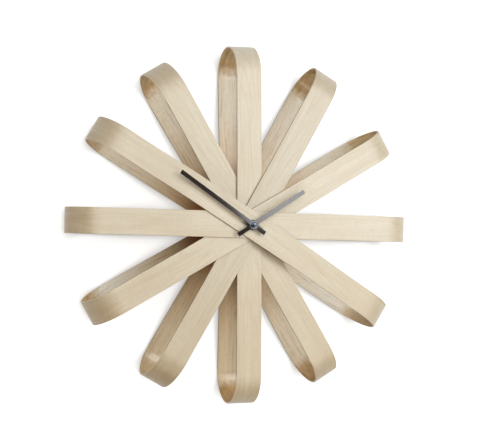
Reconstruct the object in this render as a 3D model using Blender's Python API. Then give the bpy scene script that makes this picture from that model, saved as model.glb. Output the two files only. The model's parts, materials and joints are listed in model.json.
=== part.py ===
"""Wooden wall clock: six crossing bentwood bands, a rear hub, a battery movement and two hands.

Metres, +Z up. The clock faces -Y and +X is at the viewer's right. The origin is the middle of the
hanger's back face, which lies on the wall, so the wall is the plane y = 0.

Every piece is placed under one empty on the hub's axis, whose local x is right, y is up and z is the
height off the wall. The heights below are measured along that z.
"""
import math

import bmesh
import bpy

# Whole clock
CLOCK_DIAMETER = 0.510
LOOP_DEPTH = 0.0847
FIT_GAP = 0.0003
CUT_OVERRUN = 0.001
WELD_DISTANCE = 0.000001

# Bentwood bands, counted from the foremost one to the one nearest the wall
BAND_NAMES = ["band_4_10", "band_3_9", "band_2_8", "band_1_7", "band_12_6", "band_11_5"]
BAND_WIDTH = 0.0366
BAND_THICKNESS = 0.0024
FOREMOST_BAND_ANGLE = math.radians(121.25)
BAND_STEP = math.radians(30.5)
STACK_RISE = 0.0119
FLAT_MARGIN = 0.003
TIP_HEIGHT = 0.0102
BEND_STEPS = 16
EASE_STEPS = 8

# Rear hub: two rings clamp the bands' rear tips
HUB_HOLE_RADIUS = 0.030
TIP_INSET = 0.003
INNER_RING_RADIUS = 0.047
REAR_RING_MARGIN = 0.007
RING_THICKNESS = 0.003
CLAMP_SCREW_RADIUS = 0.0012
CLAMP_HEAD_RADIUS = 0.0028
CLAMP_HEAD_HEIGHT = 0.0016

# Hanger strap, which bridges the rear hub's hole above the hub's axis
HANGER_HEIGHT = 0.022
HANGER_WIDTH = 0.010
HANGER_THICKNESS = 0.0012
HANGER_SCREW_EDGE = 0.0045
HANGER_SCREW_INSET = 0.003
HANGER_FOOT_LENGTH = 0.006
HANGER_CRANK_RUN = 0.0035
HANGER_SCREW_RADIUS = 0.0010
HANGER_HEAD_RADIUS = 0.0022
HANGER_HEAD_HEIGHT = 0.0012
HANGER_TEETH = 9
HANGER_TOOTH_PITCH = 0.003
HANGER_TOOTH_DEPTH = 0.0012

# Threaded bushing with its seal, washer and nut
BUSHING_RADIUS = 0.0040
BUSHING_BORE_RADIUS = 0.0029
BUSHING_FLANGE_RADIUS = 0.0062
BUSHING_FLANGE_THICKNESS = 0.0010
BUSHING_PROUD = 0.0003
SEAL_RADIUS = 0.0100
SEAL_THICKNESS = 0.0010
WASHER_RADIUS = 0.0074
WASHER_THICKNESS = 0.0008
NUT_FLATS = 0.0110
NUT_THICKNESS = 0.0020
NUT_SIDES = 6

# Movement case
WORKS_HALF_WIDTH = 0.0265
WORKS_CLEARANCE = 0.00156
CASE_WALL = 0.0015
CASE_CORNER_RADIUS = 0.003
COVER_THICKNESS = 0.0015
CASE_POST = 0.0048
CASE_SCREW_RADIUS = 0.0008
CASE_SCREW_LENGTH = 0.0060
CASE_HEAD_RADIUS = 0.0018
CASE_HEAD_HEIGHT = 0.0009
PIVOT_RADIUS = 0.0005
PIVOT_DEPTH = 0.0005

# Battery and its contacts
BATTERY_DIAMETER = 0.0145
BATTERY_BODY_LENGTH = 0.0492
BATTERY_BUTTON_RADIUS = 0.0027
BATTERY_BUTTON_LENGTH = 0.0013
BAY_CLEARANCE = 0.00075
CONTACT_SPACE = 0.00125
CONTACT_THICKNESS = 0.0004
CONTACT_WIDTH = 0.0090
CONTACT_TAB = 0.0030

# Wheels: every level is one wheel's thickness and the gap to the next, counted away from the front
WHEEL_THICKNESS = 0.0008
LEVEL_PITCH = 0.0012
HOUR_LEVEL = 0
MOTION_LEVEL = 1
CENTRE_LEVEL = 2
THIRD_LEVEL = 3
ROTOR_LEVEL = 6
TIP_SHARE = 0.8
ROOT_SHARE = 1.2
MOTION_MODULE = 0.00035
CENTRE_MODULE = 0.00030
TRAIN_MODULE = 0.00028
CANNON_TEETH = 12
MINUTE_WHEEL_TEETH = 36
MINUTE_PINION_TEETH = 10
HOUR_WHEEL_TEETH = 40
KNOB_PINION_TEETH = 12
CENTRE_WHEEL_TEETH = 48
THIRD_WHEEL_TEETH = 45
FOURTH_WHEEL_TEETH = 36
FIFTH_WHEEL_TEETH = 30
TRAIN_PINION_TEETH = 6
MINUTE_WHEEL_DIRECTION = math.radians(30)
KNOB_DIRECTION = math.radians(-10)
THIRD_DIRECTION = math.radians(115)
FOURTH_DIRECTION = math.radians(200)
FIFTH_DIRECTION = math.radians(150)
ROTOR_DIRECTION = math.radians(50)
MINUTE_ARBOR_RADIUS = 0.0015
HOUR_PIPE_RADIUS = 0.0026
HOUR_PIPE_BORE_RADIUS = 0.0018

# Setting knob
KNOB_RADIUS = 0.0070
KNOB_FLUTE_DEPTH = 0.0005
KNOB_FLUTES = 20
KNOB_THICKNESS = 0.0025
KNOB_STEM_RADIUS = 0.0012

# Stepping motor and circuit
ROTOR_MAGNET_RADIUS = 0.0016
ROTOR_MAGNET_THICKNESS = 0.0015
STATOR_BORE_RADIUS = 0.0020
STATOR_LOBE_RADIUS = 0.0034
STATOR_LEG_WIDTH = 0.0040
STATOR_YOKE_WIDTH = 0.0030
STATOR_TOP = 0.0225
STATOR_TOP_CLEARANCE = 0.0040
COIL_LENGTH = 0.0200
COIL_INSET = 0.0025
COIL_FLANGE_RADIUS = 0.0034
COIL_FLANGE_THICKNESS = 0.0008
COIL_TUBE_RADIUS = 0.0023
COIL_WINDING_RADIUS = 0.0032
COIL_LEG_CLEARANCE = 0.0010
CORE_WIDTH = 0.0030
CORE_THICKNESS = 0.0008
BOARD_WIDTH = 0.0075
BOARD_HEIGHT = 0.0240
BOARD_THICKNESS = 0.0008
CHIP_SIZE = 0.0046
CHIP_THICKNESS = 0.0012
CRYSTAL_RADIUS = 0.0015
CRYSTAL_LENGTH = 0.0062

# Hands, with their angles clockwise from twelve as photographed
HAND_WIDTH = 0.0060
HAND_THICKNESS = 0.0006
HAND_BOSS_RADIUS = 0.0057
HAND_COLLET_RADIUS = 0.0036
HAND_COLLET_HEIGHT = 0.0006
HAND_SPACING = 0.0003
MINUTE_HAND_LENGTH = 0.1295
MINUTE_HAND_TAIL = 0.0208
MINUTE_HAND_ANGLE = math.radians(304.0)
HOUR_HAND_LENGTH = 0.0903
HOUR_HAND_TAIL = 0.0262
HOUR_HAND_ANGLE = math.radians(57.4)
HAND_BOSS_STEPS = 8
CAP_RADIUS = 0.0038
CAP_HEIGHT = 0.0030
CAP_STEPS = 4

# Sides of round shapes
LARGE_SIDES = 48
ROUND_SIDES = 24
SMALL_SIDES = 8
CORNER_STEPS = 4

# Sizes across the hub, worked out from the sizes above
TIP_RADIUS = HUB_HOLE_RADIUS + TIP_INSET
REAR_RING_RADIUS = INNER_RING_RADIUS + REAR_RING_MARGIN
CLAMP_SCREW_CIRCLE = (TIP_RADIUS + INNER_RING_RADIUS) / 2
HANGER_SCREW_REACH = math.sqrt((REAR_RING_RADIUS - HANGER_SCREW_EDGE) ** 2 - HANGER_HEIGHT ** 2)
HANGER_HALF_LENGTH = HANGER_SCREW_REACH + HANGER_SCREW_INSET
HANGER_BRIDGE_HALF = HANGER_HALF_LENGTH - HANGER_FOOT_LENGTH - HANGER_CRANK_RUN
BATTERY_LENGTH = BATTERY_BODY_LENGTH + BATTERY_BUTTON_LENGTH
COIL_AXIS = STATOR_TOP - COIL_INSET

# Inside of the movement case, which holds the works above the battery's bay
CASE_INSIDE = max(WORKS_HALF_WIDTH, BATTERY_LENGTH / 2 + CONTACT_SPACE)
CENTRE_WHEEL_RADIUS = CENTRE_MODULE * (CENTRE_WHEEL_TEETH / 2 + TIP_SHARE)
WORKS_TOP = STATOR_TOP + STATOR_TOP_CLEARANCE
WORKS_FLOOR = -CENTRE_WHEEL_RADIUS - WORKS_CLEARANCE
BAY_TOP = WORKS_FLOOR - CASE_WALL
BATTERY_AXIS = BAY_TOP - BAY_CLEARANCE - BATTERY_DIAMETER / 2
BAY_BOTTOM = BATTERY_AXIS - BATTERY_DIAMETER / 2 - BAY_CLEARANCE

# Heights off the wall, worked out from the sizes above, from the bands' stack inwards
BAND_COUNT = len(BAND_NAMES)
STACK_FRONT = LOOP_DEPTH + STACK_RISE
LAYER_PITCH = BAND_THICKNESS + FIT_GAP
STACK_BACK = STACK_FRONT - (BAND_COUNT - 1) * LAYER_PITCH - BAND_THICKNESS
SEAL_FRONT = STACK_BACK - FIT_GAP
CASE_FRONT = SEAL_FRONT - SEAL_THICKNESS - FIT_GAP
CAVITY_FRONT = CASE_FRONT - CASE_WALL
BATTERY_HEIGHT = CAVITY_FRONT - FIT_GAP - BATTERY_DIAMETER / 2
COVER_BACK = BATTERY_HEIGHT - BATTERY_DIAMETER / 2
COVER_FRONT = COVER_BACK + COVER_THICKNESS
CASE_RIM = COVER_FRONT + FIT_GAP
BUSHING_BACK = CAVITY_FRONT - FIT_GAP - BUSHING_FLANGE_THICKNESS
TRAIN_FRONT = BUSHING_BACK - FIT_GAP
PIVOT_FRONT = CAVITY_FRONT + PIVOT_DEPTH
PIVOT_BACK = COVER_FRONT - PIVOT_DEPTH
WASHER_BACK = STACK_FRONT + FIT_GAP
NUT_BACK = WASHER_BACK + WASHER_THICKNESS + FIT_GAP
BUSHING_FRONT = NUT_BACK + NUT_THICKNESS + BUSHING_PROUD
HOUR_COLLET_BACK = BUSHING_FRONT + FIT_GAP
HOUR_PIPE_FRONT = HOUR_COLLET_BACK + HAND_COLLET_HEIGHT + HAND_THICKNESS + FIT_GAP
MINUTE_COLLET_BACK = HOUR_PIPE_FRONT + HAND_SPACING
MINUTE_HAND_FRONT = MINUTE_COLLET_BACK + HAND_COLLET_HEIGHT + HAND_THICKNESS
CAP_BACK = MINUTE_HAND_FRONT + FIT_GAP
MINUTE_ARBOR_FRONT = CAP_BACK + CAP_HEIGHT / 2
REAR_RING_FRONT = TIP_HEIGHT - FIT_GAP
REAR_RING_BACK = REAR_RING_FRONT - RING_THICKNESS
INNER_RING_BACK = TIP_HEIGHT + BAND_THICKNESS + FIT_GAP
INNER_RING_FRONT = INNER_RING_BACK + RING_THICKNESS
CLAMP_BORE_RADIUS = CLAMP_SCREW_RADIUS + FIT_GAP
STACK_BORE_RADIUS = BUSHING_RADIUS + FIT_GAP
PIVOT_BORE_RADIUS = PIVOT_RADIUS + FIT_GAP

# Angles between neighbouring bands: the last pair closes the circle
CLOSING_STEP = math.pi - (BAND_COUNT - 1) * BAND_STEP
TIGHTEST_STEP = min(BAND_STEP, CLOSING_STEP)


# Helpers
def clear_scene():
    for old in list(bpy.data.objects):
        bpy.data.objects.remove(old, do_unlink=True)


def material(name, colour, roughness, metallic=0.0):
    """A plain Principled material, made once for each name."""
    found = bpy.data.materials.get(name)
    if found:
        return found
    made = bpy.data.materials.new(name)
    made.use_nodes = True
    shader = made.node_tree.nodes["Principled BSDF"]
    shader.inputs["Base Color"].default_value = (*colour, 1.0)
    shader.inputs["Roughness"].default_value = roughness
    shader.inputs["Metallic"].default_value = metallic
    made.diffuse_color = (*colour, 1.0)
    return made


def pale_wood():
    return material("pale_wood", (0.71, 0.60, 0.44), 0.45)


def dark_metal():
    return material("dark_metal", (0.035, 0.036, 0.040), 0.35, 1.0)


def blue_steel():
    return material("blue_steel", (0.03, 0.045, 0.08), 0.2, 1.0)


def bonded_magnet():
    return material("bonded_magnet", (0.05, 0.05, 0.055), 0.6)


def brass():
    return material("brass", (0.72, 0.52, 0.24), 0.3, 1.0)


def steel():
    return material("steel", (0.55, 0.56, 0.57), 0.35, 1.0)


def black_plastic():
    return material("black_plastic", (0.02, 0.02, 0.022), 0.5)


def white_plastic():
    return material("white_plastic", (0.85, 0.85, 0.82), 0.4)


def black_rubber():
    return material("black_rubber", (0.025, 0.025, 0.025), 0.8)


def copper():
    return material("copper", (0.70, 0.27, 0.12), 0.35, 1.0)


def circuit_green():
    return material("circuit_green", (0.04, 0.20, 0.09), 0.4)


def battery_jacket():
    return material("battery_jacket", (0.10, 0.11, 0.13), 0.35, 0.4)


def new_object(name, shape, finish, parent, smooth_angle=math.radians(35)):
    """Turn a bmesh into a named object with outward faces and one material."""
    bmesh.ops.recalc_face_normals(shape, faces=shape.faces)
    mesh = bpy.data.meshes.new(name)
    shape.to_mesh(mesh)
    shape.free()
    mesh.shade_smooth()
    mesh.set_sharp_from_angle(angle=smooth_angle)
    made = bpy.data.objects.new(name, mesh)
    if finish:
        mesh.materials.append(finish)
    bpy.context.scene.collection.objects.link(made)
    made.parent = parent
    return made


def new_empty(name, parent=None):
    made = bpy.data.objects.new(name, None)
    bpy.context.scene.collection.objects.link(made)
    made.parent = parent
    return made


def prism(outline, back, front):
    """A straight block between two heights, over a closed outline of (x, y) points."""
    shape = bmesh.new()
    corners = [shape.verts.new((x, y, back)) for x, y in outline]
    base = shape.faces.new(corners)
    raised = bmesh.ops.extrude_face_region(shape, geom=[base])["geom"]
    moved = [item for item in raised if isinstance(item, bmesh.types.BMVert)]
    bmesh.ops.translate(shape, verts=moved, vec=(0, 0, front - back))
    return shape


def turned(profile, sides):
    """A piece turned about z from a closed outline of (radius, height) points."""
    shape = bmesh.new()
    points = [shape.verts.new((radius, 0, height)) for radius, height in profile]
    edges = [shape.edges.new(pair) for pair in zip(points, points[1:] + points[:1])
             if pair[0].co.x > 0 or pair[1].co.x > 0]
    bmesh.ops.spin(shape, geom=points + edges, cent=(0, 0, 0), axis=(0, 0, 1),
                   angle=math.tau, steps=sides, use_merge=True)
    bmesh.ops.remove_doubles(shape, verts=shape.verts, dist=WELD_DISTANCE)
    return shape


def ring_shape(outer, inner, back, front, sides):
    return turned([(inner, back), (outer, back), (outer, front), (inner, front)], sides)


def rod_shape(radius, back, front, sides):
    return turned([(0, back), (radius, back), (radius, front), (0, front)], sides)


def screw_shape(head_radius, head_height, shank_radius, head_back, shank_front):
    """A pan head towards the wall and a plain shank away from it."""
    head_front = head_back + head_height
    profile = [(0, head_back), (head_radius, head_back), (head_radius, head_front),
               (shank_radius, head_front), (shank_radius, shank_front), (0, shank_front)]
    return turned(profile, SMALL_SIDES)


def rectangle(left, right, bottom, top):
    return [(left, bottom), (right, bottom), (right, top), (left, top)]


def circle_points(radius, sides, centre=(0, 0), turn=0.0):
    angles = [turn + math.tau * step / sides for step in range(sides)]
    return [(centre[0] + radius * math.cos(a), centre[1] + radius * math.sin(a)) for a in angles]


def polar(centre, distance, direction):
    return (centre[0] + distance * math.cos(direction), centre[1] + distance * math.sin(direction))


def joined(shapes):
    """One bmesh that holds several separate closed shapes."""
    whole = bmesh.new()
    for shape in shapes:
        part = bpy.data.meshes.new("part_of_group")
        shape.to_mesh(part)
        shape.free()
        whole.from_mesh(part)
        bpy.data.meshes.remove(part)
    return whole


def moved(shape, x, y):
    bmesh.ops.translate(shape, verts=shape.verts, vec=(x, y, 0))
    return shape


def with_operand(target, shape, operation, label):
    """Join a hidden shape to the target, or cut the target with it."""
    guide = new_object(f"{target.name}_{label}", shape, None, target)
    guide.hide_render = True
    guide.display_type = "WIRE"
    step = target.modifiers.new(label, "BOOLEAN")
    step.operation = operation
    step.solver = "EXACT"
    step.object = guide
    return target


def drilled(target, holes, sides=SMALL_SIDES, label="bores"):
    """Cut round holes, each given as (x, y, radius, back, front)."""
    cutters = [moved(rod_shape(radius, back, front, sides), x, y)
               for x, y, radius, back, front in holes]
    return with_operand(target, joined(cutters), "DIFFERENCE", label)


def centre_drilled(target, radius, back, front):
    """Cut a round hole on the target's own axis, through all that lies between these heights."""
    hole = (0, 0, radius, back - CUT_OVERRUN, front + CUT_OVERRUN)
    return drilled(target, [hole], ROUND_SIDES, "centre")


# Bands
def band_angle(layer):
    return FOREMOST_BAND_ANGLE - layer * BAND_STEP


def side_steps(layer):
    """Angles from a band to its clockwise and its counter-clockwise neighbour."""
    clockwise = CLOSING_STEP if layer == 0 else BAND_STEP
    counter = CLOSING_STEP if layer == BAND_COUNT - 1 else BAND_STEP
    return clockwise, counter


def mitre_start(step):
    """Distance from the hub's axis at which full-width tips meet side by side."""
    return (BAND_WIDTH / 2 + FIT_GAP / 2 / math.cos(step / 2)) / math.tan(step / 2)


def tip_half_width(reach, step):
    return min(BAND_WIDTH / 2, reach * math.tan(step / 2) - FIT_GAP / 2 / math.cos(step / 2))


def bend_centre():
    return CLOCK_DIAMETER / 2 - LOOP_DEPTH / 2, LOOP_DEPTH / 2


def rear_slope():
    """Slope of the rear strip, which runs from the rear ring's rim to touch the bend."""
    centre_reach, centre_height = bend_centre()
    run = centre_reach - REAR_RING_RADIUS
    rise = centre_height - TIP_HEIGHT
    return math.atan2(rise, run) - math.asin(centre_height / math.hypot(run, rise))


def rear_height(reach, slope):
    return TIP_HEIGHT + max(0.0, reach - REAR_RING_RADIUS) * math.tan(slope)


def front_station(layer, reach, flat_reach, end_reach):
    """A point on the front face, eased from the stack's depth to the bend's."""
    drop = STACK_FRONT - layer * LAYER_PITCH - LOOP_DEPTH
    share = max(0.0, (reach - flat_reach) / (end_reach - flat_reach))
    height = LOOP_DEPTH + drop * (1 + math.cos(math.pi * share)) / 2
    slope = -drop * math.pi * math.sin(math.pi * share) / 2 / (end_reach - flat_reach)
    return reach, height, math.pi / 2 + math.atan(slope)


def half_band(layer):
    """Stations on the outer face from the hub to the rear tip: reach, height and normal's angle."""
    centre_reach, centre_height = bend_centre()
    flat_reach = mitre_start(TIGHTEST_STEP) + FLAT_MARGIN
    run = (centre_reach - flat_reach) / EASE_STEPS
    stations = [front_station(layer, 0, flat_reach, centre_reach)]
    stations += [front_station(layer, flat_reach + run * step, flat_reach, centre_reach)
                 for step in range(EASE_STEPS)]
    slope = rear_slope()
    sweep = math.pi - slope
    for step in range(BEND_STEPS + 1):
        normal = math.pi / 2 - sweep * step / BEND_STEPS
        stations.append((centre_reach + centre_height * math.cos(normal),
                         centre_height + centre_height * math.sin(normal), normal))
    rear_reaches = {mitre_start(step) for step in side_steps(layer)} | {REAR_RING_RADIUS, TIP_RADIUS}
    for reach in sorted(rear_reaches, reverse=True):
        leaning = (reach > REAR_RING_RADIUS) + (reach >= REAR_RING_RADIUS)
        stations.append((reach, rear_height(reach, slope), slope * leaning / 2 - math.pi / 2))
    return stations


def band_section(station, end, is_rear, layer):
    """Four corners of the strip at a station, on the end at +x (1) or at -x (-1)."""
    reach, height, normal = station
    clockwise, counter = side_steps(layer)
    upper_step, lower_step = (counter, clockwise) if end > 0 else (clockwise, counter)
    upper = tip_half_width(reach, upper_step) if is_rear else BAND_WIDTH / 2
    lower = tip_half_width(reach, lower_step) if is_rear else BAND_WIDTH / 2
    inner_reach = reach - BAND_THICKNESS * math.cos(normal)
    inner_height = height - BAND_THICKNESS * math.sin(normal)
    return [(end * reach, upper, height), (end * reach, -lower, height),
            (end * inner_reach, -lower, inner_height), (end * inner_reach, upper, inner_height)]


def band_shape(layer):
    """The whole strip: rear tip, bend, front, bend, rear tip."""
    stations = half_band(layer)
    rear_from = 1 + EASE_STEPS + BEND_STEPS
    sections = [band_section(station, -1, index >= rear_from, layer)
                for index, station in reversed(list(enumerate(stations)))]
    sections += [band_section(station, 1, index >= rear_from, layer)
                 for index, station in enumerate(stations) if index > 0]
    shape = bmesh.new()
    rings = [[shape.verts.new(corner) for corner in section] for section in sections]
    for ring, after in zip(rings, rings[1:]):
        for corner in range(len(ring)):
            beside = (corner + 1) % len(ring)
            shape.faces.new((ring[corner], ring[beside], after[beside], after[corner]))
    shape.faces.new(rings[0])
    shape.faces.new(rings[-1])
    return shape


def make_bands(face):
    for layer, name in enumerate(BAND_NAMES):
        band = new_object(name, band_shape(layer), pale_wood(), face)
        band.rotation_euler.z = math.pi / 2 - band_angle(layer)
        centre_drilled(band, STACK_BORE_RADIUS, STACK_BACK, STACK_FRONT)
        drilled(band, [(end * CLAMP_SCREW_CIRCLE, 0, CLAMP_BORE_RADIUS, TIP_HEIGHT - CUT_OVERRUN,
                        INNER_RING_FRONT) for end in (-1, 1)])


# Rear hub and hanger
def tip_points():
    """Centres of the twelve clamp screws."""
    points = []
    for layer in range(BAND_COUNT):
        turn = math.pi / 2 - band_angle(layer)
        points += [polar((0, 0), end * CLAMP_SCREW_CIRCLE, turn) for end in (-1, 1)]
    return points


def hanger_screw_points():
    return [(side * HANGER_SCREW_REACH, HANGER_HEIGHT) for side in (-1, 1)]


def make_rings(face):
    clamp_holes = [(x, y, CLAMP_BORE_RADIUS, REAR_RING_BACK - CUT_OVERRUN,
                    INNER_RING_FRONT + CUT_OVERRUN) for x, y in tip_points()]
    hanger_holes = [(x, y, HANGER_SCREW_RADIUS + FIT_GAP, REAR_RING_BACK - CUT_OVERRUN,
                     TIP_HEIGHT) for x, y in hanger_screw_points()]
    rear = new_object("rear_ring", ring_shape(REAR_RING_RADIUS, HUB_HOLE_RADIUS, REAR_RING_BACK,
                                              REAR_RING_FRONT, LARGE_SIDES), pale_wood(), face)
    drilled(rear, clamp_holes + hanger_holes)
    inner = new_object("inner_ring", ring_shape(INNER_RING_RADIUS, HUB_HOLE_RADIUS, INNER_RING_BACK,
                                                INNER_RING_FRONT, LARGE_SIDES), pale_wood(), face)
    drilled(inner, clamp_holes)


def make_clamp_screws(face):
    head_back = REAR_RING_BACK - FIT_GAP - CLAMP_HEAD_HEIGHT
    for count, (x, y) in enumerate(tip_points(), start=1):
        shape = screw_shape(CLAMP_HEAD_RADIUS, CLAMP_HEAD_HEIGHT, CLAMP_SCREW_RADIUS, head_back,
                            INNER_RING_FRONT)
        screw = new_object(f"clamp_screw_{count:02d}", shape, steel(), face)
        screw.location = (x, y, 0)


def hanger_side_points():
    """The strap's edge-on outline: a raised foot at each end and a bridge on the wall."""
    foot = REAR_RING_BACK - FIT_GAP - HANGER_THICKNESS
    crank = HANGER_BRIDGE_HALF + HANGER_CRANK_RUN
    near_wall = [(HANGER_BRIDGE_HALF, 0), (crank, foot), (HANGER_HALF_LENGTH, foot)]
    off_wall = [(reach, height + HANGER_THICKNESS) for reach, height in reversed(near_wall)]
    right = near_wall + off_wall
    left = [(-reach, height) for reach, height in reversed(right)]
    return right + left


def hanger_tooth_points():
    """A saw-toothed comb that notches the middle of the strap's lower edge."""
    bottom = HANGER_HEIGHT - HANGER_WIDTH / 2
    left = -HANGER_TOOTH_PITCH * HANGER_TEETH / 2
    points = [(-left, bottom - CUT_OVERRUN), (left, bottom - CUT_OVERRUN)]
    for tooth in range(HANGER_TEETH):
        start = left + HANGER_TOOTH_PITCH * tooth
        points.append((start, bottom))
        points.append((start + HANGER_TOOTH_PITCH / 2, bottom + HANGER_TOOTH_DEPTH))
    points.append((-left, bottom))
    return points


def make_hanger(face):
    strap_shape = prism(hanger_side_points(), 0, HANGER_WIDTH)
    for corner in strap_shape.verts:
        reach, height, across = corner.co
        corner.co = (reach, HANGER_HEIGHT - HANGER_WIDTH / 2 + across, height)
    strap = new_object("hanger_strap", strap_shape, steel(), face)
    with_operand(strap, prism(hanger_tooth_points(), -CUT_OVERRUN, HANGER_THICKNESS + CUT_OVERRUN),
                 "DIFFERENCE", "teeth")
    drilled(strap, [(x, y, HANGER_SCREW_RADIUS + FIT_GAP, 0, REAR_RING_BACK)
                    for x, y in hanger_screw_points()])
    head_back = REAR_RING_BACK - 2 * FIT_GAP - HANGER_THICKNESS - HANGER_HEAD_HEIGHT
    for side, (x, y) in zip(("left", "right"), hanger_screw_points()):
        shape = screw_shape(HANGER_HEAD_RADIUS, HANGER_HEAD_HEIGHT, HANGER_SCREW_RADIUS, head_back,
                            REAR_RING_FRONT - FIT_GAP)
        screw = new_object(f"hanger_screw_{side}", shape, steel(), face)
        screw.location = (x, y, 0)


# Movement case
def works_outline():
    """The space for the wheels, notched at its four corners by the screw posts."""
    side = CASE_INSIDE
    post = CASE_INSIDE - CASE_POST
    low = WORKS_FLOOR + CASE_POST
    high = WORKS_TOP - CASE_POST
    return [(-post, WORKS_FLOOR), (post, WORKS_FLOOR), (post, low), (side, low), (side, high),
            (post, high), (post, WORKS_TOP), (-post, WORKS_TOP), (-post, high), (-side, high),
            (-side, low), (-post, low)]


def case_outline(bottom):
    """A rectangle as wide as the case, from this low edge to the case's top, with round corners."""
    radius = CASE_CORNER_RADIUS
    side = CASE_INSIDE + CASE_WALL - radius
    high = WORKS_TOP + CASE_WALL - radius
    low = bottom + radius
    centres = [(side, high, 0), (-side, high, 1), (-side, low, 2), (side, low, 3)]
    points = []
    for x, y, quarter in centres:
        for step in range(CORNER_STEPS + 1):
            angle = math.pi / 2 * (quarter + step / CORNER_STEPS)
            points.append((x + radius * math.cos(angle), y + radius * math.sin(angle)))
    return points


def case_screw_points():
    side = CASE_INSIDE - CASE_POST / 2
    high = WORKS_TOP - CASE_POST / 2
    low = WORKS_FLOOR + CASE_POST / 2
    return [(-side, high), (side, high), (-side, low), (side, low)]


def make_case(face, arbors, knob):
    case = new_object("movement_case", prism(case_outline(BAY_BOTTOM - CASE_WALL), CASE_RIM,
                                             CASE_FRONT), black_plastic(), face)
    hollow_back = CASE_RIM - CUT_OVERRUN
    bay = rectangle(-CASE_INSIDE, CASE_INSIDE, BAY_BOTTOM, BAY_TOP)
    with_operand(case, joined([prism(works_outline(), hollow_back, CAVITY_FRONT),
                               prism(bay, hollow_back, CAVITY_FRONT)]), "DIFFERENCE", "hollows")
    centre_drilled(case, STACK_BORE_RADIUS, CAVITY_FRONT, CASE_FRONT)
    holes = [(x, y, PIVOT_BORE_RADIUS, CAVITY_FRONT - CUT_OVERRUN, PIVOT_FRONT + FIT_GAP)
              for x, y in arbors + [knob]]
    holes += [(x, y, CASE_SCREW_RADIUS + FIT_GAP, hollow_back, CASE_RIM + CASE_SCREW_LENGTH)
              for x, y in case_screw_points()]
    drilled(case, holes)


def make_cover(face, arbors, knob):
    cover = new_object("movement_cover", prism(case_outline(BAY_TOP), COVER_BACK, COVER_FRONT),
                       black_plastic(), face)
    holes = [(x, y, PIVOT_BORE_RADIUS, PIVOT_BACK - FIT_GAP, COVER_FRONT + CUT_OVERRUN)
             for x, y in [(0, 0)] + arbors]
    holes += [(x, y, CASE_SCREW_RADIUS + FIT_GAP, COVER_BACK - CUT_OVERRUN,
               COVER_FRONT + CUT_OVERRUN) for x, y in case_screw_points()]
    holes.append((*knob, KNOB_STEM_RADIUS + FIT_GAP, COVER_BACK - CUT_OVERRUN,
                  COVER_FRONT + CUT_OVERRUN))
    drilled(cover, holes)


def make_case_screws(face):
    head_back = COVER_BACK - FIT_GAP - CASE_HEAD_HEIGHT
    shank_front = CASE_RIM + CASE_SCREW_LENGTH - FIT_GAP
    for count, (x, y) in enumerate(case_screw_points(), start=1):
        shape = screw_shape(CASE_HEAD_RADIUS, CASE_HEAD_HEIGHT, CASE_SCREW_RADIUS, head_back,
                            shank_front)
        screw = new_object(f"case_screw_{count}", shape, steel(), face)
        screw.location = (x, y, 0)


# Bushing, seal, washer and nut
def make_bushing(face):
    profile = [(BUSHING_BORE_RADIUS, BUSHING_BACK), (BUSHING_FLANGE_RADIUS, BUSHING_BACK),
               (BUSHING_FLANGE_RADIUS, BUSHING_BACK + BUSHING_FLANGE_THICKNESS),
               (BUSHING_RADIUS, BUSHING_BACK + BUSHING_FLANGE_THICKNESS),
               (BUSHING_RADIUS, BUSHING_FRONT), (BUSHING_BORE_RADIUS, BUSHING_FRONT)]
    new_object("threaded_bushing", turned(profile, ROUND_SIDES), brass(), face)


def make_fastening(face):
    seal = ring_shape(SEAL_RADIUS, STACK_BORE_RADIUS, SEAL_FRONT - SEAL_THICKNESS, SEAL_FRONT,
                      ROUND_SIDES)
    new_object("rubber_seal", seal, black_rubber(), face)
    washer = ring_shape(WASHER_RADIUS, STACK_BORE_RADIUS, WASHER_BACK,
                        WASHER_BACK + WASHER_THICKNESS, ROUND_SIDES)
    new_object("flat_washer", washer, dark_metal(), face)
    corner = NUT_FLATS / 2 / math.cos(math.pi / NUT_SIDES)
    nut = new_object("hex_nut", prism(circle_points(corner, NUT_SIDES), NUT_BACK,
                                      NUT_BACK + NUT_THICKNESS), dark_metal(), face)
    centre_drilled(nut, STACK_BORE_RADIUS, NUT_BACK, NUT_BACK + NUT_THICKNESS)


# Wheels
def level_front(level):
    return TRAIN_FRONT - level * LEVEL_PITCH


def mesh_distance(teeth, other_teeth, module):
    return (teeth + other_teeth) * module / 2


def gear_outline(teeth, module, phase):
    """Peaked teeth, one of them centred on the phase angle."""
    points = []
    for tooth in range(teeth):
        angle = phase + math.tau * tooth / teeth
        points.append(polar((0, 0), module * (teeth / 2 + TIP_SHARE), angle))
        points.append(polar((0, 0), module * (teeth / 2 - ROOT_SHARE), angle + math.pi / teeth))
    return points


def meshed_phase(phase, teeth, direction, other_teeth):
    """Phase of a second gear, in this direction from the first, so that teeth sit in gaps."""
    past_tooth = (phase - direction) * teeth
    return direction + math.pi + (math.pi - past_tooth) / other_teeth


def wheel_shape(teeth, module, level, phase):
    return prism(gear_outline(teeth, module, phase), level_front(level) - WHEEL_THICKNESS,
                 level_front(level))


def pinion_shape(teeth, module, level, phase):
    """A pinion that reaches from its own wheel, one level behind, to this level's front."""
    return prism(gear_outline(teeth, module, phase), level_front(level + 1) - WHEEL_THICKNESS / 2,
                 level_front(level))


def make_arbor_wheel(name, parent, wheel, pinion, finish):
    """A pivoted arbor that carries a wheel and a pinion."""
    arbor = new_object(name, rod_shape(PIVOT_RADIUS, PIVOT_BACK, PIVOT_FRONT, SMALL_SIDES), finish,
                       parent)
    with_operand(arbor, wheel, "UNION", "wheel")
    with_operand(arbor, pinion, "UNION", "pinion")
    return arbor


def axis_empty(name, face, point):
    made = new_empty(name, face)
    made.location = (*point, 0)
    return made


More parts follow.
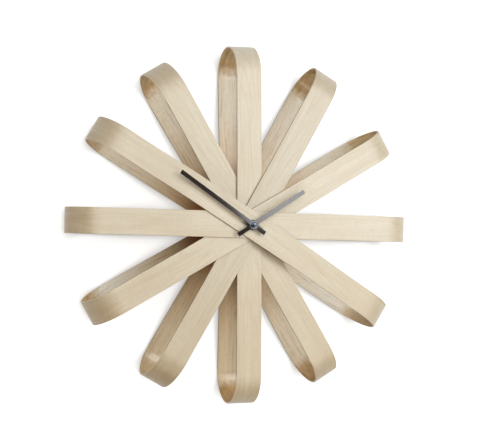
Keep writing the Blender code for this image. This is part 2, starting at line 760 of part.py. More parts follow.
def make_hour_wheel(face, phase):
    """The hour wheel's plate and the pipe that carries the hour hand."""
    axis = axis_empty("hour_axis", face, (0, 0))
    pipe_back = level_front(HOUR_LEVEL) - WHEEL_THICKNESS / 2
    hour_wheel = new_object("hour_wheel", rod_shape(HOUR_PIPE_RADIUS, pipe_back, HOUR_PIPE_FRONT,
                                                    ROUND_SIDES), white_plastic(), axis)
    plate = wheel_shape(HOUR_WHEEL_TEETH, hour_module(), HOUR_LEVEL, phase)
    with_operand(hour_wheel, plate, "UNION", "plate")
    centre_drilled(hour_wheel, HOUR_PIPE_BORE_RADIUS, pipe_back - WHEEL_THICKNESS, HOUR_PIPE_FRONT)
    return axis


def hour_module():
    """The hour wheel shares the minute wheel's centre distance, so its teeth are a little finer."""
    motion_distance = mesh_distance(CANNON_TEETH, MINUTE_WHEEL_TEETH, MOTION_MODULE)
    return motion_distance * 2 / (MINUTE_PINION_TEETH + HOUR_WHEEL_TEETH)


def make_minute_arbor(face):
    """The minute arbor with the cannon pinion in front of the centre wheel."""
    axis = axis_empty("minute_axis", face, (0, 0))
    shoulder = level_front(CENTRE_LEVEL) - WHEEL_THICKNESS / 2
    profile = [(0, PIVOT_BACK), (PIVOT_RADIUS, PIVOT_BACK), (PIVOT_RADIUS, shoulder),
               (MINUTE_ARBOR_RADIUS, shoulder), (MINUTE_ARBOR_RADIUS, MINUTE_ARBOR_FRONT),
               (0, MINUTE_ARBOR_FRONT)]
    arbor = new_object("centre_wheel", turned(profile, SMALL_SIDES), brass(), axis)
    with_operand(arbor, wheel_shape(CENTRE_WHEEL_TEETH, CENTRE_MODULE, CENTRE_LEVEL, 0.0),
                 "UNION", "wheel")
    with_operand(arbor, pinion_shape(CANNON_TEETH, MOTION_MODULE, MOTION_LEVEL, 0.0),
                 "UNION", "pinion")
    return axis


def make_motion_work(face, minute_point, knob_point):
    """Minute wheel, hour wheel and the knob's pinion, each meshed with the one before."""
    phase = meshed_phase(0.0, CANNON_TEETH, MINUTE_WHEEL_DIRECTION, MINUTE_WHEEL_TEETH)
    axis = axis_empty("minute_wheel_axis", face, minute_point)
    make_arbor_wheel("minute_wheel", axis,
                     wheel_shape(MINUTE_WHEEL_TEETH, MOTION_MODULE, MOTION_LEVEL, phase),
                     pinion_shape(MINUTE_PINION_TEETH, hour_module(), HOUR_LEVEL, 0.0),
                     white_plastic())
    hour_phase = meshed_phase(0.0, MINUTE_PINION_TEETH, MINUTE_WHEEL_DIRECTION + math.pi,
                              HOUR_WHEEL_TEETH)
    hour_axis = make_hour_wheel(face, hour_phase)
    knob_phase = meshed_phase(phase, MINUTE_WHEEL_TEETH, KNOB_DIRECTION, KNOB_PINION_TEETH)
    make_knob(face, knob_point, knob_phase)
    return hour_axis


def make_knob(face, point, phase):
    """Fluted thumb wheel behind the cover, its stem and the pinion that sets the hands."""
    axis = axis_empty("knob_axis", face, point)
    thumb_front = COVER_BACK - FIT_GAP
    stem_back = thumb_front - KNOB_THICKNESS / 2
    stem_front = level_front(MOTION_LEVEL) - WHEEL_THICKNESS / 2
    profile = [(0, stem_back), (KNOB_STEM_RADIUS, stem_back), (KNOB_STEM_RADIUS, stem_front),
               (PIVOT_RADIUS, stem_front), (PIVOT_RADIUS, PIVOT_FRONT), (0, PIVOT_FRONT)]
    knob = new_object("setting_knob", turned(profile, SMALL_SIDES), white_plastic(), axis)
    flutes = []
    for flute in range(KNOB_FLUTES):
        angle = math.tau * flute / KNOB_FLUTES
        flutes.append(polar((0, 0), KNOB_RADIUS, angle))
        flutes.append(polar((0, 0), KNOB_RADIUS - KNOB_FLUTE_DEPTH, angle + math.pi / KNOB_FLUTES))
    with_operand(knob, prism(flutes, thumb_front - KNOB_THICKNESS, thumb_front), "UNION", "thumb")
    with_operand(knob, wheel_shape(KNOB_PINION_TEETH, MOTION_MODULE, MOTION_LEVEL, phase),
                 "UNION", "pinion")


def train_points():
    """Axes of the third, fourth and fifth wheels and the rotor, each from the one before."""
    third = polar((0, 0), mesh_distance(CENTRE_WHEEL_TEETH, TRAIN_PINION_TEETH, CENTRE_MODULE),
                  THIRD_DIRECTION)
    fourth = polar(third, mesh_distance(THIRD_WHEEL_TEETH, TRAIN_PINION_TEETH, TRAIN_MODULE),
                   FOURTH_DIRECTION)
    fifth = polar(fourth, mesh_distance(FOURTH_WHEEL_TEETH, TRAIN_PINION_TEETH, TRAIN_MODULE),
                  FIFTH_DIRECTION)
    rotor = polar(fifth, mesh_distance(FIFTH_WHEEL_TEETH, TRAIN_PINION_TEETH, TRAIN_MODULE),
                  ROTOR_DIRECTION)
    return [third, fourth, fifth, rotor]


def make_train(face):
    """Third, fourth and fifth wheels, one level further back each, and the rotor."""
    names = ["third_wheel", "fourth_wheel", "fifth_wheel", "rotor"]
    directions = [THIRD_DIRECTION, FOURTH_DIRECTION, FIFTH_DIRECTION, ROTOR_DIRECTION]
    wheel_teeth = [THIRD_WHEEL_TEETH, FOURTH_WHEEL_TEETH, FIFTH_WHEEL_TEETH]
    driver_teeth = [CENTRE_WHEEL_TEETH] + wheel_teeth
    modules = [CENTRE_MODULE, TRAIN_MODULE, TRAIN_MODULE, TRAIN_MODULE]
    for index, (name, point) in enumerate(zip(names, train_points())):
        level = THIRD_LEVEL + index
        axis = axis_empty(f"{name}_axis", face, point)
        phase = meshed_phase(0.0, driver_teeth[index], directions[index], TRAIN_PINION_TEETH)
        pinion = pinion_shape(TRAIN_PINION_TEETH, modules[index], level - 1, phase)
        if level == ROTOR_LEVEL:
            magnet = rod_shape(ROTOR_MAGNET_RADIUS, level_front(level) - ROTOR_MAGNET_THICKNESS,
                               level_front(level), ROUND_SIDES)
            make_arbor_wheel(name, axis, magnet, pinion, bonded_magnet())
        else:
            wheel = wheel_shape(wheel_teeth[index], TRAIN_MODULE, level, 0.0)
            make_arbor_wheel(name, axis, wheel, pinion, white_plastic())


# Motor and circuit
def stator_front():
    """The yoke lies at the middle of the rotor's magnet."""
    return level_front(ROTOR_LEVEL) - (ROTOR_MAGNET_THICKNESS - CORE_THICKNESS) / 2


def coil_left(rotor):
    return rotor[0] + STATOR_LEG_WIDTH / 2 + COIL_LEG_CLEARANCE


def make_stator(face, rotor):
    """A flat steel yoke round the rotor, with a leg up to each end of the coil's core."""
    front = stator_front()
    back = front - CORE_THICKNESS
    left = rotor[0] - STATOR_LEG_WIDTH / 2
    right = coil_left(rotor) + COIL_LENGTH + COIL_LEG_CLEARANCE + STATOR_LEG_WIDTH
    bottom = rotor[1] - STATOR_YOKE_WIDTH / 2
    outline = [(left, bottom), (right, bottom), (right, STATOR_TOP),
               (right - STATOR_LEG_WIDTH, STATOR_TOP),
               (right - STATOR_LEG_WIDTH, bottom + STATOR_YOKE_WIDTH),
               (left + STATOR_LEG_WIDTH, bottom + STATOR_YOKE_WIDTH),
               (left + STATOR_LEG_WIDTH, STATOR_TOP), (left, STATOR_TOP)]
    stator = new_object("stator", prism(outline, back, front), steel(), face)
    lobe = prism(circle_points(STATOR_LOBE_RADIUS, ROUND_SIDES, rotor), back, front)
    with_operand(stator, lobe, "UNION", "lobe")
    drilled(stator, [(*rotor, STATOR_BORE_RADIUS, back - CUT_OVERRUN, front + CUT_OVERRUN)])
    return left, right


def make_coil(face, rotor, left, right):
    """Core bar on the stator's legs, through a moulded former with its winding."""
    core_back = stator_front() + FIT_GAP
    core_height = core_back + CORE_THICKNESS / 2
    core = prism(rectangle(left, right, COIL_AXIS - CORE_WIDTH / 2, COIL_AXIS + CORE_WIDTH / 2),
                 core_back, core_back + CORE_THICKNESS)
    new_object("coil_core", core, steel(), face)
    flange = COIL_FLANGE_THICKNESS
    profile = [(0, 0), (COIL_FLANGE_RADIUS, 0), (COIL_FLANGE_RADIUS, flange),
               (COIL_TUBE_RADIUS, flange), (COIL_TUBE_RADIUS, COIL_LENGTH - flange),
               (COIL_FLANGE_RADIUS, COIL_LENGTH - flange), (COIL_FLANGE_RADIUS, COIL_LENGTH),
               (0, COIL_LENGTH)]
    former = new_object("coil_former", turned(profile, ROUND_SIDES), white_plastic(), face)
    place_along_x(former, coil_left(rotor), COIL_AXIS, core_height)
    half_slot = CORE_WIDTH / 2 + FIT_GAP
    slot = prism(rectangle(-(CORE_THICKNESS / 2 + FIT_GAP), CORE_THICKNESS / 2 + FIT_GAP,
                           -half_slot, half_slot), -CUT_OVERRUN, COIL_LENGTH + CUT_OVERRUN)
    with_operand(former, slot, "DIFFERENCE", "slot")
    winding = new_object("coil_winding", ring_shape(COIL_WINDING_RADIUS, COIL_TUBE_RADIUS + FIT_GAP,
                                                    flange + FIT_GAP,
                                                    COIL_LENGTH - flange - FIT_GAP, ROUND_SIDES),
                         copper(), face)
    place_along_x(winding, coil_left(rotor), COIL_AXIS, core_height)


def place_along_x(item, x, y, height):
    """Lay a piece that was turned about z along x, with its start at this point."""
    item.rotation_euler.y = math.pi / 2
    item.location = (x, y, height)


def make_board(face):
    """Circuit board at the works' right side, with the chip and the quartz crystal's can."""
    right = WORKS_HALF_WIDTH - FIT_GAP
    left = right - BOARD_WIDTH
    middle = (WORKS_FLOOR + WORKS_TOP) / 2
    front = CAVITY_FRONT - FIT_GAP
    back = front - BOARD_THICKNESS
    board = prism(rectangle(left, right, middle - BOARD_HEIGHT / 2, middle + BOARD_HEIGHT / 2),
                  back, front)
    new_object("circuit_board", board, circuit_green(), face)
    x = (left + right) / 2
    chip_bottom = middle + CHIP_SIZE / 2
    chip = prism(rectangle(x - CHIP_SIZE / 2, x + CHIP_SIZE / 2, chip_bottom,
                           chip_bottom + CHIP_SIZE), back - FIT_GAP - CHIP_THICKNESS,
                 back - FIT_GAP)
    new_object("driver_chip", chip, black_plastic(), face)
    crystal = new_object("quartz_crystal", rod_shape(CRYSTAL_RADIUS, 0, CRYSTAL_LENGTH, SMALL_SIDES),
                         steel(), face)
    crystal.rotation_euler.x = math.pi / 2
    crystal.location = (x, middle - CHIP_SIZE / 2, back - FIT_GAP - CRYSTAL_RADIUS)


# Battery
def make_battery(face):
    axis = axis_empty("battery_slide", face, (0, BATTERY_AXIS))
    radius = BATTERY_DIAMETER / 2
    profile = [(0, 0), (radius, 0), (radius, BATTERY_BODY_LENGTH),
               (BATTERY_BUTTON_RADIUS, BATTERY_BODY_LENGTH), (BATTERY_BUTTON_RADIUS, BATTERY_LENGTH),
               (0, BATTERY_LENGTH)]
    battery = new_object("battery", turned(profile, ROUND_SIDES), battery_jacket(), axis)
    place_along_x(battery, -BATTERY_LENGTH / 2, 0, BATTERY_HEIGHT)


def make_contact(face, name, side):
    """A sprung strip between the bay's end wall and the battery, its tab bent to the wall."""
    near = BATTERY_LENGTH / 2 + FIT_GAP
    wall = CASE_INSIDE - FIT_GAP
    tab_end = near + CONTACT_THICKNESS
    outline = [(near, BATTERY_HEIGHT - CONTACT_TAB), (tab_end, BATTERY_HEIGHT - CONTACT_TAB),
               (tab_end, BATTERY_HEIGHT + CONTACT_TAB), (wall, BATTERY_HEIGHT + CONTACT_TAB),
               (wall, BATTERY_HEIGHT + CONTACT_TAB + CONTACT_THICKNESS),
               (near, BATTERY_HEIGHT + CONTACT_TAB + CONTACT_THICKNESS)]
    shape = prism(outline, -CONTACT_WIDTH / 2, CONTACT_WIDTH / 2)
    for corner in shape.verts:
        reach, height, across = corner.co
        corner.co = (side * reach, BATTERY_AXIS + across, height)
    new_object(name, shape, steel(), face)


# Hands
def hand_outline(length, tail):
    """A parallel bar along y with a round boss about the axis."""
    side = HAND_WIDTH / 2
    meeting = math.acos(side / HAND_BOSS_RADIUS)
    sweep = 2 * meeting / HAND_BOSS_STEPS
    right = [polar((0, 0), HAND_BOSS_RADIUS, sweep * step - meeting)
             for step in range(HAND_BOSS_STEPS + 1)]
    left = [(-x, y) for x, y in reversed(right)]
    return [(side, -tail)] + right + [(side, length), (-side, length)] + left + [(-side, -tail)]


def make_hand(name, axis, angle, length, tail, collet_back, bore):
    """A flat bar with its boss, and a collet behind it."""
    back = collet_back + HAND_COLLET_HEIGHT
    front = back + HAND_THICKNESS
    hand = new_object(name, prism(hand_outline(length, tail), back, front), dark_metal(), axis)
    collet = rod_shape(HAND_COLLET_RADIUS, collet_back, back + HAND_THICKNESS / 2, ROUND_SIDES)
    with_operand(hand, collet, "UNION", "collet")
    centre_drilled(hand, bore, collet_back, front)
    hand.rotation_euler.z = -angle


def make_cap(axis):
    """A domed cap, threaded over the arbor's end."""
    bore = MINUTE_ARBOR_RADIUS + FIT_GAP
    dome_start = CAP_BACK + CAP_HEIGHT / 2
    profile = [(bore, CAP_BACK), (CAP_RADIUS, CAP_BACK)]
    for step in range(CAP_STEPS):
        angle = math.pi / 2 * step / CAP_STEPS
        profile.append((CAP_RADIUS * math.cos(angle), dome_start + CAP_HEIGHT / 2 * math.sin(angle)))
    profile += [(0, CAP_BACK + CAP_HEIGHT), (0, MINUTE_ARBOR_FRONT + FIT_GAP),
                (bore, MINUTE_ARBOR_FRONT + FIT_GAP)]
    new_object("axis_cap", turned(profile, ROUND_SIDES), blue_steel(), axis)


def make_clock():
    face = new_empty("clock_face")
    face.location.z = -HANGER_HEIGHT
    face.rotation_euler.x = math.pi / 2
    motion_distance = mesh_distance(CANNON_TEETH, MINUTE_WHEEL_TEETH, MOTION_MODULE)
    minute_point = polar((0, 0), motion_distance, MINUTE_WHEEL_DIRECTION)
    knob_distance = mesh_distance(MINUTE_WHEEL_TEETH, KNOB_PINION_TEETH, MOTION_MODULE)
    knob_point = polar(minute_point, knob_distance, KNOB_DIRECTION)
    arbors = [minute_point] + train_points()
    rotor = train_points()[-1]

    make_bands(face)
    make_rings(face)
    make_clamp_screws(face)
    make_hanger(face)
    make_case(face, arbors, knob_point)
    make_cover(face, arbors, knob_point)
    make_case_screws(face)
    make_bushing(face)
    make_fastening(face)
    minute_axis = make_minute_arbor(face)
    hour_axis = make_motion_work(face, minute_point, knob_point)
    make_train(face)
    left, right = make_stator(face, rotor)
    make_coil(face, rotor, left, right)
    make_board(face)
    make_battery(face)
    make_contact(face, "contact_plus", 1)
    make_contact(face, "contact_minus", -1)
    make_hand("hour_hand", hour_axis, HOUR_HAND_ANGLE, HOUR_HAND_LENGTH, HOUR_HAND_TAIL,
              HOUR_COLLET_BACK, HOUR_PIPE_RADIUS + FIT_GAP)
    make_hand("minute_hand", minute_axis, MINUTE_HAND_ANGLE, MINUTE_HAND_LENGTH, MINUTE_HAND_TAIL,
              MINUTE_COLLET_BACK, MINUTE_ARBOR_RADIUS + FIT_GAP)
    make_cap(minute_axis)


clear_scene()
make_clock()
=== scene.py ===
import json
import math

import bmesh
import bpy
from mathutils import Matrix, Vector


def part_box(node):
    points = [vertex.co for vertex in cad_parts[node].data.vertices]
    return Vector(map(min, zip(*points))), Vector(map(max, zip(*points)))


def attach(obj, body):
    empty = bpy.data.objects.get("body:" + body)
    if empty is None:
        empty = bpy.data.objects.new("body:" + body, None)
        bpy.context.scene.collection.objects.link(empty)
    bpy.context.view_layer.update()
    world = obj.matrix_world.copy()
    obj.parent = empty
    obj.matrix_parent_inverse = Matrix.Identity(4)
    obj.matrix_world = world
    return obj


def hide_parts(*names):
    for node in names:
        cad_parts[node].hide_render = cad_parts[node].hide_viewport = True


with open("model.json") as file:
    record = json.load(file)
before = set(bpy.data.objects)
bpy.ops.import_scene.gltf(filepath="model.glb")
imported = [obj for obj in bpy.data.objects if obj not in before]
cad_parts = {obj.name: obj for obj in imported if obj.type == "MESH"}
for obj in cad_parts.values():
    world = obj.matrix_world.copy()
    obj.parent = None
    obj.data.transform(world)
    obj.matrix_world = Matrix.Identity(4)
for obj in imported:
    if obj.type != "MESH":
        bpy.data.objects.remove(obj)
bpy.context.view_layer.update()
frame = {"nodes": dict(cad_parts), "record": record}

# The part's sizes, in metres, as the model has them
CLOCK_DIAMETER = 0.510
LOOP_DEPTH = 0.0847
FIT_GAP = 0.0003
BAND_NAMES = ["band_4_10", "band_3_9", "band_2_8", "band_1_7", "band_12_6", "band_11_5"]
BAND_WIDTH = 0.0366
BAND_THICKNESS = 0.0024
FOREMOST_BAND_ANGLE = math.radians(121.25)
BAND_STEP = math.radians(30.5)
STACK_RISE = 0.0119
FLAT_MARGIN = 0.003
TIP_HEIGHT = 0.0102
TIP_RADIUS = 0.033
REAR_RING_RADIUS = 0.054
INNER_RING_RADIUS = 0.047
HUB_HOLE_RADIUS = 0.030
RING_THICKNESS = 0.003
HUB_DROP = 0.022
STACK_BORE_RADIUS = 0.0043
CLAMP_CIRCLE = 0.040
CLAMP_BORE_RADIUS = 0.0015
HANGER_BORE_RADIUS = 0.0013
BAND_COUNT = len(BAND_NAMES)
STACK_FRONT = LOOP_DEPTH + STACK_RISE
LAYER_PITCH = BAND_THICKNESS + FIT_GAP
STACK_BACK = STACK_FRONT - (BAND_COUNT - 1) * LAYER_PITCH - BAND_THICKNESS
CLOSING_STEP = math.pi - (BAND_COUNT - 1) * BAND_STEP
TIGHTEST_STEP = min(BAND_STEP, CLOSING_STEP)
REAR_RING_BACK = TIP_HEIGHT - FIT_GAP - RING_THICKNESS
INNER_RING_BACK = TIP_HEIGHT + BAND_THICKNESS + FIT_GAP

# The clock's face: z forwards from the wall, with the hub at the origin
FACE = Matrix.Translation((0, 0, -HUB_DROP)) @ Matrix.Rotation(math.pi / 2, 4, "X")

# The strips' stations: finer steps than the model's
HUB_REACHES = (0.0, 0.02, 0.045)
REAR_REACHES = {REAR_RING_RADIUS, TIP_RADIUS, 0.045, 0.05, 0.058, 0.064}
REAR_RUN_FROM = 0.08
REAR_RUN_STEP = 0.012
REAR_RUN_STEPS = 11
EASE_STEPS = 32
BEND_STEPS = 72
EDGE_RADIUS = 0.00045
EDGE_STEPS = 3
EDGE_LOOP = 0.0009
# No point of a strip lies farther out along it than this
REACH_LIMIT = CLOCK_DIAMETER / 2 - 0.0001
# The grain of one strip lies this far from the next one's
GRAIN_SHIFT_ALONG = 3.1
GRAIN_SHIFT_ACROSS = 0.7
# The last share of the bend, over which the inner face takes its own tone
BEND_FADE = 0.4

# Cutters reach this far past what they cut
CUT_SLACK = 0.001
RING_EDGE = 0.0005

# The hands at rest, clockwise from 12 o'clock
MINUTE_HAND_ANGLE = math.radians(304.0)
HOUR_HAND_ANGLE = math.radians(57.4)
# Half a bar's width, its thickness, the boss and the collet behind it. The tails lean back a
# little from TAIL_BEND outwards
HAND_HALF_WIDTH = 0.0030
HAND_THICKNESS = 0.0006
BOSS_RADIUS = 0.0057
COLLET_RADIUS = 0.0036
TAIL_BEND = 0.0060
TAIL_BEND_LENGTH = 0.0012
TAIL_LEAN = 0.024

# How pale each strip's outer face is beside the others
BAND_TONES = [1.0, 1.01, 1.0, 0.93, 1.0, 0.98]
# In the next three tables end 1 lists the loops at 4, 3, 2, 1, 12 and 11 o'clock, and end -1
# those at 10, 9, 8, 7, 6 and 5. First, how strongly stain and painted shade mark the outer and
# inner faces
OUTER_STAIN_AND_SHADE = {1: (0.25, 0.45, 0.40, 0.45, 0.15, 0.60), -1: (0.66, 0.95, 0.82, 1.0, 0.60, 0.45)}
INNER_STAIN_AND_SHADE = {1: (0.55, 0.60, 0.80, 1.00, 0.90, 0.90), -1: (0.75, 0.80, 0.85, 0.40, 0.95, 0.85)}
# Then the inner face's painted light and shade: how pale it is where it leaves the bend and at its
# rear tip, and how cool
INNER_PAINTED_LIGHT = {
    1: ((1.38, 1.16, 0.33, 0.36), (1.0, 1.0, 0.0, 0.0), (1.05, 1.60, 0.0, 0.30),
        (0.96, 1.26, 0.0, 0.32), (1.01, 1.37, -0.02, 0.36), (1.12, 0.86, 0.0, 0.0)),
    -1: ((1.17, 1.08, -0.03, -0.03), (1.0, 1.0, 0.0, 0.0), (1.16, 0.44, 0.44, -0.10),
         (0.85, 0.88, 0.0, 0.0), (0.94, 0.72, 0.0, -0.10), (0.97, 1.19, 0.16, 0.20))}

# The wood's colours
DARK_GRAIN = (0.655, 0.572, 0.425)
PALE_GRAIN = (0.725, 0.653, 0.518)
PALE_BELT = (0.765, 0.700, 0.575)
WARM_CLOUD = (0.655, 0.545, 0.400)
CROSS_RIPPLE = (0.630, 0.550, 0.425)
GROWTH_LINE = (0.600, 0.490, 0.345)
BROWN_STREAK = (0.40, 0.30, 0.19)
SMUDGE = (0.48, 0.38, 0.27)
PORE = (0.34, 0.25, 0.16)
# The dark brown of the strips' straight edges
DARK_EDGE = (0.070, 0.038, 0.014)
CUT_PLY = (0.64, 0.54, 0.39)
GLUE_LINE = (0.36, 0.26, 0.16)
WHITE = (1.0, 1.0, 1.0)
# Tints that the wood's colour is multiplied by: where it was bent, in dark and pale blotches, a
# stain with painted shade; then painted shade at the clock's lower end, towards the hub and close
# to it
OUTER_BEND_STAIN_AND_SHADE = ((0.755, 0.67, 0.54), (0.805, 0.745, 0.65))
INNER_BEND_STAIN_AND_SHADE = ((0.60, 0.41, 0.21), (0.83, 0.68, 0.47))
OUTER_LOW_SHADE = (0.945, 0.91, 0.84)
INNER_LOW_SHADE = (1.0, 0.92, 0.80)
INNER_SHADE_NEAR_HUB = (1.03, 0.90, 0.74)
INNER_SHADE_AT_HUB = (0.44, 0.27, 0.155)

# The photograph's view, solved from the hub, the tips and the loops' depth
CAMERA_PLACE = Vector((-0.8250, -2.3454, -0.0369))
CAMERA_TARGET = Vector((0.01524, -0.0462, -0.01967))
CAMERA_ROLL = math.radians(0.78)
CAMERA_LENS = 123.0

# Lamps: name, azimuth and elevation in degrees, distance, width and height, radiance, colour
LAMP_TARGET = Vector((0, -0.09, -HUB_DROP))
LAMPS = [
    ("key", 33.1, 11.9, 2.2, 1.10, 0.95, 5.2, WHITE),
    ("near_right", 48.0, 8.0, 0.85, 0.35, 0.40, 1.15, (0.80, 0.90, 1.0)),
    ("top", 2.0, 34.0, 1.8, 1.80, 1.45, 1.45, (0.93, 0.97, 1.0)),
    ("left", -20.0, 10.0, 1.8, 0.70, 0.70, 3.9, (1.0, 0.90, 0.77)),
    ("low", 36.0, -22.0, 1.8, 0.80, 0.70, 2.8, (1.0, 0.97, 0.91)),
    ("low_left", -15.0, -56.0, 1.8, 0.70, 0.70, 3.0, (1.0, 0.93, 0.83)),
    ("far_left", -80.0, -10.0, 1.8, 0.70, 0.70, 2.3, (1.0, 0.87, 0.74)),
]
WALL_GAP = 0.0005
WALL_HALF_SIDE = 4.0
WALL_GREY = (0.45, 0.45, 0.45)
# The wall glows less round the clock, where the lamps add to it, and less still near a contact, as
# a painted contact shadow
WALL_NEAR_LEVEL = 0.8
CONTACT_REACH = 0.016
CONTACT_SHADOW_DEPTH = 0.85
# The room's brightness behind the wall's plane and in front of it
ROOM_BEHIND = 0.55
ROOM_IN_FRONT = 0.14
HORIZON_BLUR = 0.10


# Node building
class Nodes:
    """Short calls for building a material's or the world's nodes."""

    def __init__(self, owner, output="ShaderNodeOutputMaterial"):
        owner.use_nodes = True
        self.tree = owner.node_tree
        self.tree.nodes.clear()
        self.output = self.tree.nodes.new(output)

    def add(self, kind, inputs=None, **settings):
        node = self.tree.nodes.new(kind)
        for key, value in settings.items():
            setattr(node, key, value)
        for key, value in (inputs or {}).items():
            self.set(node.inputs[key], value)
        return node

    def set(self, socket, value):
        if isinstance(value, bpy.types.NodeSocket):
            self.tree.links.new(value, socket)
        elif isinstance(value, tuple) and len(value) == 3 and socket.type == "RGBA":
            socket.default_value = (*value, 1.0)
        else:
            socket.default_value = value

    def place(self):
        """The object's own coordinates, in metres."""
        return self.add("ShaderNodeTexCoord").outputs["Object"]

    def attribute(self, name, output="Fac"):
        """A value that the mesh's points hold."""
        return self.add("ShaderNodeAttribute", attribute_name=name).outputs[output]

    def split(self, vector):
        return self.add("ShaderNodeSeparateXYZ", {0: vector}).outputs

    def math(self, operation, *values):
        node = self.add("ShaderNodeMath", operation=operation)
        for socket, value in zip(node.inputs, values):
            self.set(socket, value)
        return node.outputs[0]

    def scaled(self, vector, scale):
        node = self.add("ShaderNodeVectorMath", {0: vector, 1: scale}, operation="MULTIPLY")
        return node.outputs[0]

    def shifted(self, vector, shift):
        node = self.add("ShaderNodeVectorMath", {0: vector, 1: shift}, operation="ADD")
        return node.outputs[0]

    def noise(self, place, cycles, detail, roughness, distortion=0.0):
        """Noise with so many cycles in a metre along each of three directions."""
        node = self.add("ShaderNodeTexNoise", {
            "Vector": self.scaled(place, cycles), "Scale": 1.0, "Detail": detail,
            "Roughness": roughness, "Distortion": distortion})
        return node.outputs["Fac"]

    def ramp(self, value, low, high, low_out=0.0, high_out=1.0):
        node = self.add("ShaderNodeMapRange", {"Value": value, "From Min": low, "From Max": high,
                                               "To Min": low_out, "To Max": high_out},
                        interpolation_type="SMOOTHSTEP")
        return node.outputs[0]

    def blend(self, amount, first, second, kind="MIX"):
        node = self.add("ShaderNodeMix", data_type="RGBA", blend_type=kind)
        for socket, value in zip((node.inputs[0], node.inputs[6], node.inputs[7]),
                                 (amount, first, second)):
            self.set(socket, value)
        return node.outputs[2]

    def bump(self, height, strength, distance):
        node = self.add("ShaderNodeBump", {"Height": height, "Strength": strength,
                                           "Distance": distance})
        return node.outputs[0]

    def shader(self, **inputs):
        names = {key.replace("_", " "): value for key, value in inputs.items()}
        node = self.add("ShaderNodeBsdfPrincipled", names)
        self.tree.links.new(node.outputs[0], self.output.inputs["Surface"])
        return node


def new_material(name):
    material = bpy.data.materials.new(name)
    return material, Nodes(material)


# Materials
def hub_reach(nodes):
    """The distance from the hub's axis."""
    x, _, z = nodes.split(nodes.place())
    rise = nodes.math("ADD", z, HUB_DROP)
    return nodes.math("SQRT", nodes.math("ADD", nodes.math("POWER", x, 2.0),
                                         nodes.math("POWER", rise, 2.0)))


def bend_stain_and_shade(nodes, place, colour, inside, bent, deep_bent):
    """The strips are yellower where they were bent, and browner on the inside of the bend: a stain
    with painted shade, heavier on the left-hand loops and inside the bends.
    """
    blotch = nodes.ramp(nodes.noise(place, (45.0, 130.0, 60.0), 3.0, 0.6), 0.3, 0.7)
    stain_and_shade = nodes.blend(inside, nodes.blend(blotch, *OUTER_BEND_STAIN_AND_SHADE), nodes.blend(blotch, *INNER_BEND_STAIN_AND_SHADE))
    reach = nodes.math("ADD", nodes.math("MULTIPLY", inside, deep_bent),
                       nodes.math("MULTIPLY", nodes.ramp(inside, 0.0, 1.0, 1.0, 0.0), bent))
    reach = nodes.math("MULTIPLY", reach, nodes.attribute("stain_and_shade"))
    return nodes.blend(reach, colour, nodes.blend(1.0, colour, stain_and_shade, "MULTIPLY"))


def painted_low_and_hub_shade(nodes, colour, inside):
    """Painted shade: the strips' lower ends a little darker and yellower, and their inner faces
    browner and darker near the hub.
    """
    low = nodes.ramp(nodes.split(nodes.place())[2], 0.0, -0.22)
    reach = hub_reach(nodes)
    near = nodes.ramp(reach, 0.19, 0.075)
    deep = nodes.ramp(reach, 0.100, 0.050)
    outer = nodes.blend(low, WHITE, OUTER_LOW_SHADE)
    inner = nodes.blend(low, WHITE, INNER_LOW_SHADE)
    for amount, tint in ((near, INNER_SHADE_NEAR_HUB), (deep, INNER_SHADE_AT_HUB)):
        inner = nodes.blend(amount, inner, nodes.blend(1.0, inner, tint, "MULTIPLY"))
    return nodes.blend(1.0, colour, nodes.blend(inside, outer, inner), "MULTIPLY")


def dark_straight_edge(nodes, depth, colour, bent):
    """The strips' edges are dark brown where they are straight; the bends show pale plies."""
    third = BAND_THICKNESS / 3
    ply = nodes.math("PINGPONG", nodes.math("SUBTRACT", depth, third), third)
    line = nodes.ramp(ply, 0.00003, 0.00012, 0.5, 0.0)
    pale = nodes.blend(line, nodes.blend(0.35, colour, CUT_PLY), GLUE_LINE)
    skin = 0.0002
    within = nodes.math("MULTIPLY", nodes.ramp(depth, skin, 2 * skin),
                        nodes.ramp(depth, BAND_THICKNESS - 2 * skin, BAND_THICKNESS - skin,
                                   1.0, 0.0))
    edge = nodes.blend(bent, nodes.blend(0.05, DARK_EDGE, colour), pale)
    return nodes.blend(within, colour, edge)


def bending_marks_and_shade(nodes, place, depth, colour, inside):
    """A strip's colour with the marks that bending left on it, painted shade in its bends, at its
    lower end and near the hub, painted light and shade on its inner face, and the change in
    roughness inside its bends. The ramps over lengths have their limits in metres into the bend."""
    into = nodes.attribute("bend")
    ragged = nodes.noise(place, (110.0, 160.0, 60.0), 3.0, 0.6)
    shift = nodes.math("MULTIPLY", nodes.math("SUBTRACT", ragged, 0.5), 0.014)
    into_ragged = nodes.math("ADD", into, shift)
    # Inside the lower loops the stain sets in later
    later = nodes.ramp(nodes.split(nodes.place())[2], -0.16, -0.21, 0.0, -0.009)
    more_ragged = nodes.math("MULTIPLY", shift, 1.8)
    into_deep = nodes.math("ADD", into, nodes.math("ADD", more_ragged, later))
    colour = bend_stain_and_shade(nodes, place, colour, inside, nodes.ramp(into_ragged, -0.003, 0.027),
                        nodes.ramp(into_deep, 0.004, 0.022))
    colour = painted_low_and_hub_shade(nodes, colour, inside)
    # The strips' tones, with painted light and shade on the inner faces
    colour = nodes.scaled(colour, nodes.attribute("tone", "Vector"))
    colour = dark_straight_edge(nodes, depth, colour, nodes.ramp(into, -0.003, 0.002))
    onset = nodes.ramp(into_ragged, -0.004, 0.004)
    return colour, nodes.math("MULTIPLY", nodes.math("MULTIPLY", inside, onset), -0.20)


